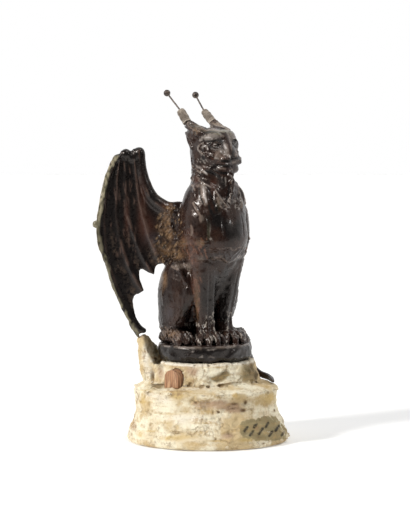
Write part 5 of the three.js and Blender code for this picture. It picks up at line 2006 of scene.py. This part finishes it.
class Paint:
    """A node material, with short calls for the nodes that it is mixed from."""

    def __init__(self, name, roughness, **fixed):
        self.material = bpy.data.materials.new(name)
        self.material.use_nodes = True
        self.tree = self.material.node_tree
        self.shader = self.tree.nodes["Principled BSDF"]
        self.shader.inputs["Roughness"].default_value = roughness
        for socket, value in fixed.items():
            self.shader.inputs[socket.replace("_", " ")].default_value = value
        self.coordinates = self.tree.nodes.new("ShaderNodeTexCoord").outputs["Object"]

    def node(self, kind, **settings):
        made = self.tree.nodes.new(kind)
        for key, value in settings.items():
            setattr(made, key, value)
        return made

    def link(self, source, target):
        if isinstance(source, (int, float)):
            target.default_value = source
        elif isinstance(source, tuple):
            target.default_value = (*source, 1) if len(source) == 3 else source
        else:
            self.tree.links.new(source, target)

    def attribute(self, name):
        return self.node("ShaderNodeAttribute", attribute_name=name).outputs["Fac"]

    def noise(self, scale, detail=4, roughness=0.55, stretch=(1, 1, 1), output="Fac"):
        """Noise with bumps of one scale-th of a metre."""
        mapping = self.node("ShaderNodeMapping")
        mapping.inputs["Scale"].default_value = stretch
        self.link(self.coordinates, mapping.inputs["Vector"])
        texture = self.node("ShaderNodeTexNoise")
        texture.inputs["Scale"].default_value = scale
        texture.inputs["Detail"].default_value = detail
        texture.inputs["Roughness"].default_value = roughness
        self.link(mapping.outputs["Vector"], texture.inputs["Vector"])
        return texture.outputs[output]

    def math(self, operation, a, b):
        made = self.node("ShaderNodeMath", operation=operation)
        self.link(a, made.inputs[0])
        self.link(b, made.inputs[1])
        return made.outputs[0]

    def times(self, first, *others):
        for other in others:
            first = self.math("MULTIPLY", first, other)
        return first

    def sum(self, first, *others):
        """Adds up values that are each given with a factor."""
        total = self.times(*first)
        for other in others:
            total = self.math("ADD", total, self.times(*other))
        return total

    def step(self, value, start, end, low=0.0, high=1.0):
        made = self.node("ShaderNodeMapRange", interpolation_type="SMOOTHSTEP")
        for socket, amount in zip(("Value", "From Min", "From Max", "To Min", "To Max"),
                                  (value, start, end, low, high)):
            self.link(amount, made.inputs[socket])
        return made.outputs["Result"]

    def mix(self, share, first, second, kind="MIX"):
        made = self.node("ShaderNodeMix", data_type="RGBA", blend_type=kind)
        self.link(share, made.inputs["Factor"])
        self.link(first, made.inputs[6])
        self.link(second, made.inputs[7])
        return made.outputs[2]

    def layer(self, below, colour, share, *masks):
        """Lays a colour on what is below it, where all the masks are high."""
        return self.mix(self.times(*masks, share), below, colour)

    def tinted(self, below, grains, start, end):
        """Lays the vertices' own tint on what is below it, broken up by grains."""
        tint = self.node("ShaderNodeAttribute", attribute_name="tint")
        cover = self.step(self.times(tint.outputs["Alpha"], grains), start, end)
        return self.mix(cover, below, tint.outputs["Color"])

    def bump(self, height, strength, distance):
        made = self.node("ShaderNodeBump")
        made.inputs["Strength"].default_value = strength
        made.inputs["Distance"].default_value = distance
        self.link(height, made.inputs["Height"])
        self.link(made.outputs["Normal"], self.shader.inputs["Normal"])

    def finish(self, colour, roughness=None):
        self.link(colour, self.shader.inputs["Base Color"])
        if roughness is not None:
            self.link(roughness, self.shader.inputs["Roughness"])
        return self.material


def patina_material():
    """Glossy dark brown patina with tints that carry painted highlights and painted shade, worn edges,
    dusty specks and dark hollows.
    """
    paint = Paint("dark_patina", 0.35, Specular_IOR_Level=0.34, Coat_Weight=0.24, Coat_Roughness=0.13,
                  Specular_Tint=(1, 0.86, 0.78, 1))
    step = paint.step
    broad = paint.noise(45, 4)
    fine = paint.noise(420, 5, 0.6)
    speck = paint.noise(900, 2, 0.7)
    streak = paint.noise(260, 4, 0.6, stretch=(1, 1, 0.22))
    colour = paint.mix(step(broad, 0.35, 0.68), (0.010, 0.0046, 0.0036), (0.028, 0.0125, 0.0085))
    colour = paint.layer(colour, (0.055, 0.030, 0.020), 0.5, step(streak, 0.5, 0.7))
    # The vertex tint lays on colours together with painted highlights and painted shade
    colour = paint.tinted(colour, paint.math("ADD", fine, streak), 0.28, 0.82)
    worn = step(paint.attribute("edge"), 0.45, 0.85)
    colour = paint.layer(colour, (0.15, 0.10, 0.07), 0.6, worn, step(fine, 0.42, 0.66))
    colour = paint.layer(colour, (0.3, 0.25, 0.2), 0.4, step(speck, 0.68, 0.74), step(broad, 0.45, 0.6))
    colour = paint.layer(colour, (0.004, 0.003, 0.003), 0.9, step(paint.attribute("hollow"), 0.36, 0.9))
    paint.bump(paint.sum((streak, 0.7), (speck, 0.3)), 0.55, 0.0008)
    return paint.finish(colour, step(fine, 0.3, 0.7, 0.22, 0.42))


# How far noise moves the cracks, in metres, and the cells between them to a metre
CRACK_WARP = 0.016
CRACK_CELLS = 95


def plaster_cracks(paint):
    """A net of thin lines, crooked by noise."""
    warped = paint.node("ShaderNodeVectorMath", operation="MULTIPLY_ADD")
    paint.link(paint.coordinates, warped.inputs[2])
    paint.link(paint.noise(70, 2, 0.5, output="Color"), warped.inputs[0])
    warped.inputs[1].default_value = (CRACK_WARP,) * 3
    cells = paint.node("ShaderNodeTexVoronoi", feature="DISTANCE_TO_EDGE")
    cells.inputs["Scale"].default_value = CRACK_CELLS
    paint.link(warped.outputs[0], cells.inputs["Vector"])
    return paint.step(cells.outputs["Distance"], 0.02, 0.07, 1.0, 0.0)


def plaster_material():
    """Old cream plaster with stains, painted shade and light, chips, darker hollows and the painted patch.
    """
    paint = Paint("old_plaster", 0.85, Specular_IOR_Level=0.25)
    step = paint.step
    broad = paint.noise(34, 5, 0.6)
    cloud = paint.noise(110, 5, 0.65)
    fine = paint.noise(420, 5, 0.65)
    speck = paint.noise(800, 3, 0.7)
    bands = paint.noise(90, 4, 0.6, stretch=(0.5, 0.5, 3))
    grit = paint.noise(560, 4, 0.7)
    crack = paint.times(plaster_cracks(paint), step(cloud, 0.5, 0.6))
    worn = step(paint.attribute("edge"), 0.34, 0.7)
    darker_hollows = step(paint.attribute("hollow"), 0.27, 0.7)
    colour = paint.mix(step(broad, 0.42, 0.58), (0.64, 0.50, 0.29), (0.88, 0.81, 0.63))
    # The vertex tint lays on stains together with painted shade and painted light
    colour = paint.tinted(colour, paint.sum((cloud, 0.9), (fine, 0.7)), 0.22, 0.66)
    for top, share, *masks in (
        ((0.50, 0.34, 0.15), 0.6, step(bands, 0.48, 0.6), step(fine, 0.36, 0.62)),
        ((0.36, 0.22, 0.125), 0.65, step(cloud, 0.54, 0.66), step(fine, 0.44, 0.62)),
        ((0.86, 0.79, 0.64), 0.7, worn, step(fine, 0.36, 0.6)),
        ((0.27, 0.175, 0.085), 0.8, darker_hollows, step(fine, 0.25, 0.6, 0.5, 1.0)),
        ((0.36, 0.25, 0.135), 0.5, step(grit, 0.5, 0.68), step(cloud, 0.34, 0.6)),
        ((0.36, 0.25, 0.13), 0.4, crack),
        ((0.13, 0.08, 0.045), 0.75, step(speck, 0.64, 0.71), step(cloud, 0.42, 0.58)),
        ((0.03, 0.026, 0.022), 0.9, paint.attribute("stroke"), step(fine, 0.3, 0.46)),
    ):
        colour = paint.layer(colour, top, share, *masks)
    height = paint.sum((fine, 0.6), (speck, 0.4), (cloud, 0.8))
    paint.bump(paint.math("SUBTRACT", height, paint.times(crack, 0.5)), 0.8, 0.0014)
    return paint.finish(colour, step(cloud, 0.3, 0.7, 0.72, 0.95))


def wood_material():
    paint = Paint("dry_wood", 0.7)
    along = paint.noise(900, 5, 0.6, stretch=(1, 1, 0.09))
    wide = paint.noise(300, 4, 0.6, stretch=(1, 1, 0.2))
    colour = paint.mix(paint.step(along, 0.32, 0.68), (0.20, 0.085, 0.04), (0.50, 0.27, 0.145))
    colour = paint.mix(paint.step(wide, 0.5, 0.75), colour, (0.62, 0.38, 0.22))
    colour = paint.mix(paint.step(paint.attribute("hollow"), 0.3, 0.8), colour, (0.07, 0.035, 0.02))
    paint.bump(along, 0.7, 0.0005)
    return paint.finish(colour, paint.step(along, 0.3, 0.7, 0.55, 0.8))


def sleeve_material():
    paint = Paint("worn_sleeve", 0.75)
    fine = paint.noise(700, 5, 0.65)
    broad = paint.noise(160, 4)
    colour = paint.mix(paint.step(broad, 0.35, 0.65), (0.15, 0.118, 0.092), (0.33, 0.275, 0.22))
    colour = paint.layer(colour, (0.52, 0.45, 0.37), 0.7, paint.step(paint.attribute("edge"), 0.35, 0.8))
    colour = paint.mix(paint.step(paint.attribute("hollow"), 0.3, 0.8), colour, (0.03, 0.022, 0.018))
    colour = paint.mix(paint.step(fine, 0.6, 0.72), colour, (0.05, 0.036, 0.03))
    paint.bump(fine, 0.6, 0.0004)
    return paint.finish(colour, paint.step(fine, 0.3, 0.7, 0.55, 0.85))


def iron_material():
    paint = Paint("dark_iron", 0.4, Metallic=0.6)
    fine = paint.noise(900, 5, 0.65)
    broad = paint.noise(260, 4)
    colour = paint.mix(paint.step(broad, 0.36, 0.64), (0.055, 0.045, 0.04), (0.15, 0.12, 0.10))
    colour = paint.layer(colour, (0.20, 0.12, 0.075), 0.7, paint.step(fine, 0.52, 0.7))
    paint.bump(fine, 0.35, 0.0003)
    return paint.finish(colour, paint.step(fine, 0.3, 0.7, 0.32, 0.6))


def floor_material():
    paint = Paint("pale_floor", 0.9, Specular_IOR_Level=0.1, Emission_Color=(1, 1, 1, 1),
                  Emission_Strength=0.12)
    cloud = paint.noise(3, 3)
    return paint.finish(paint.mix(cloud, (0.93, 0.93, 0.925), (0.95, 0.95, 0.945)))


# The scene

WORLD_FADE = {"From Min": -0.35, "From Max": 0.45, "To Min": 1.0, "To Max": 0.06}
FLOOR_HALF, FLOOR_BEHIND, FLOOR_FRONT = 1.6, 8.0, 0.42
LIGHT_TARGET = Vector((0, 0, 0.14))
LIGHT_DISTANCE = 1.2


def put(piece, material, node):
    piece.data.materials.append(material)
    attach(piece, "root")
    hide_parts(node)


def make_floor():
    mesh = bpy.data.meshes.new("floor")
    corners = [RIGHT * across + BACK * depth for across, depth in
               ((-FLOOR_HALF, -FLOOR_BEHIND), (FLOOR_HALF, -FLOOR_BEHIND),
                (FLOOR_HALF, FLOOR_FRONT), (-FLOOR_HALF, FLOOR_FRONT))]
    mesh.from_pydata(corners, [], [(0, 1, 2, 3)])
    mesh.materials.append(floor_material())
    floor = place_object("floor", mesh)


def add_lamp(name, kind, power, colour):
    data = bpy.data.lights.new(name, kind)
    data.energy = power
    data.color = colour
    return place_object(name, data)


def from_view(right, back, up):
    """A direction given from the photographer's place."""
    return RIGHT * right + BACK * back + Vector((0, 0, up))


def area_light(name, direction, size, power):
    """A soft box that looks at the middle of the figure."""
    light = add_lamp(name, "AREA", power, (1, 1, 1))
    light.data.shape = "SQUARE"
    light.data.size = size
    way = from_view(*direction).normalized()
    light.location = LIGHT_TARGET + way * LIGHT_DISTANCE
    light.rotation_euler = (-way).to_track_quat("-Z", "Y").to_euler()


def make_lights():
    """A studio that is white behind the figure and dim on the photographer's side."""
    world = bpy.data.worlds.new("studio")
    world.use_nodes = True
    nodes, links = world.node_tree.nodes, world.node_tree.links
    toward = nodes.new("ShaderNodeVectorMath")
    toward.operation = "DOT_PRODUCT"
    toward.inputs[1].default_value = BACK
    links.new(nodes.new("ShaderNodeTexCoord").outputs["Generated"], toward.inputs[0])
    fade = nodes.new("ShaderNodeMapRange")
    fade.interpolation_type = "SMOOTHSTEP"
    links.new(toward.outputs["Value"], fade.inputs["Value"])
    for socket, amount in WORLD_FADE.items():
        fade.inputs[socket].default_value = amount
    nodes["Background"].inputs["Color"].default_value = (1, 1, 1, 1)
    links.new(fade.outputs["Result"], nodes["Background"].inputs["Strength"])
    bpy.context.scene.world = world
    sun = add_lamp("key", "SUN", 2.5, (1, 0.985, 0.96))
    sun.data.angle = 0.17
    sun.rotation_euler = from_view(-0.85, 0.6, 0.62).to_track_quat("Z", "Y").to_euler()
    area_light("top", (0.35, 0.4, 1.0), 0.16, 3.5)
    area_light("right", (0.95, 0.55, 0.45), 0.1, 1.2)
    bpy.context.scene.view_settings.view_transform = "Standard"


def main():
    put(figure(), patina_material(), "chimera")
    put(plinth(), plaster_material(), "plinth")
    put(wooden_key(), wood_material(), "wooden_key")
    sleeve, iron = sleeve_material(), iron_material()
    for label, data in PINS.items():
        put(horn_cap(label, data), sleeve, f"horn_cap_{label}")
        put(pin(label, data), iron, f"pin_{label}")
    make_floor()
    make_lights()


main()
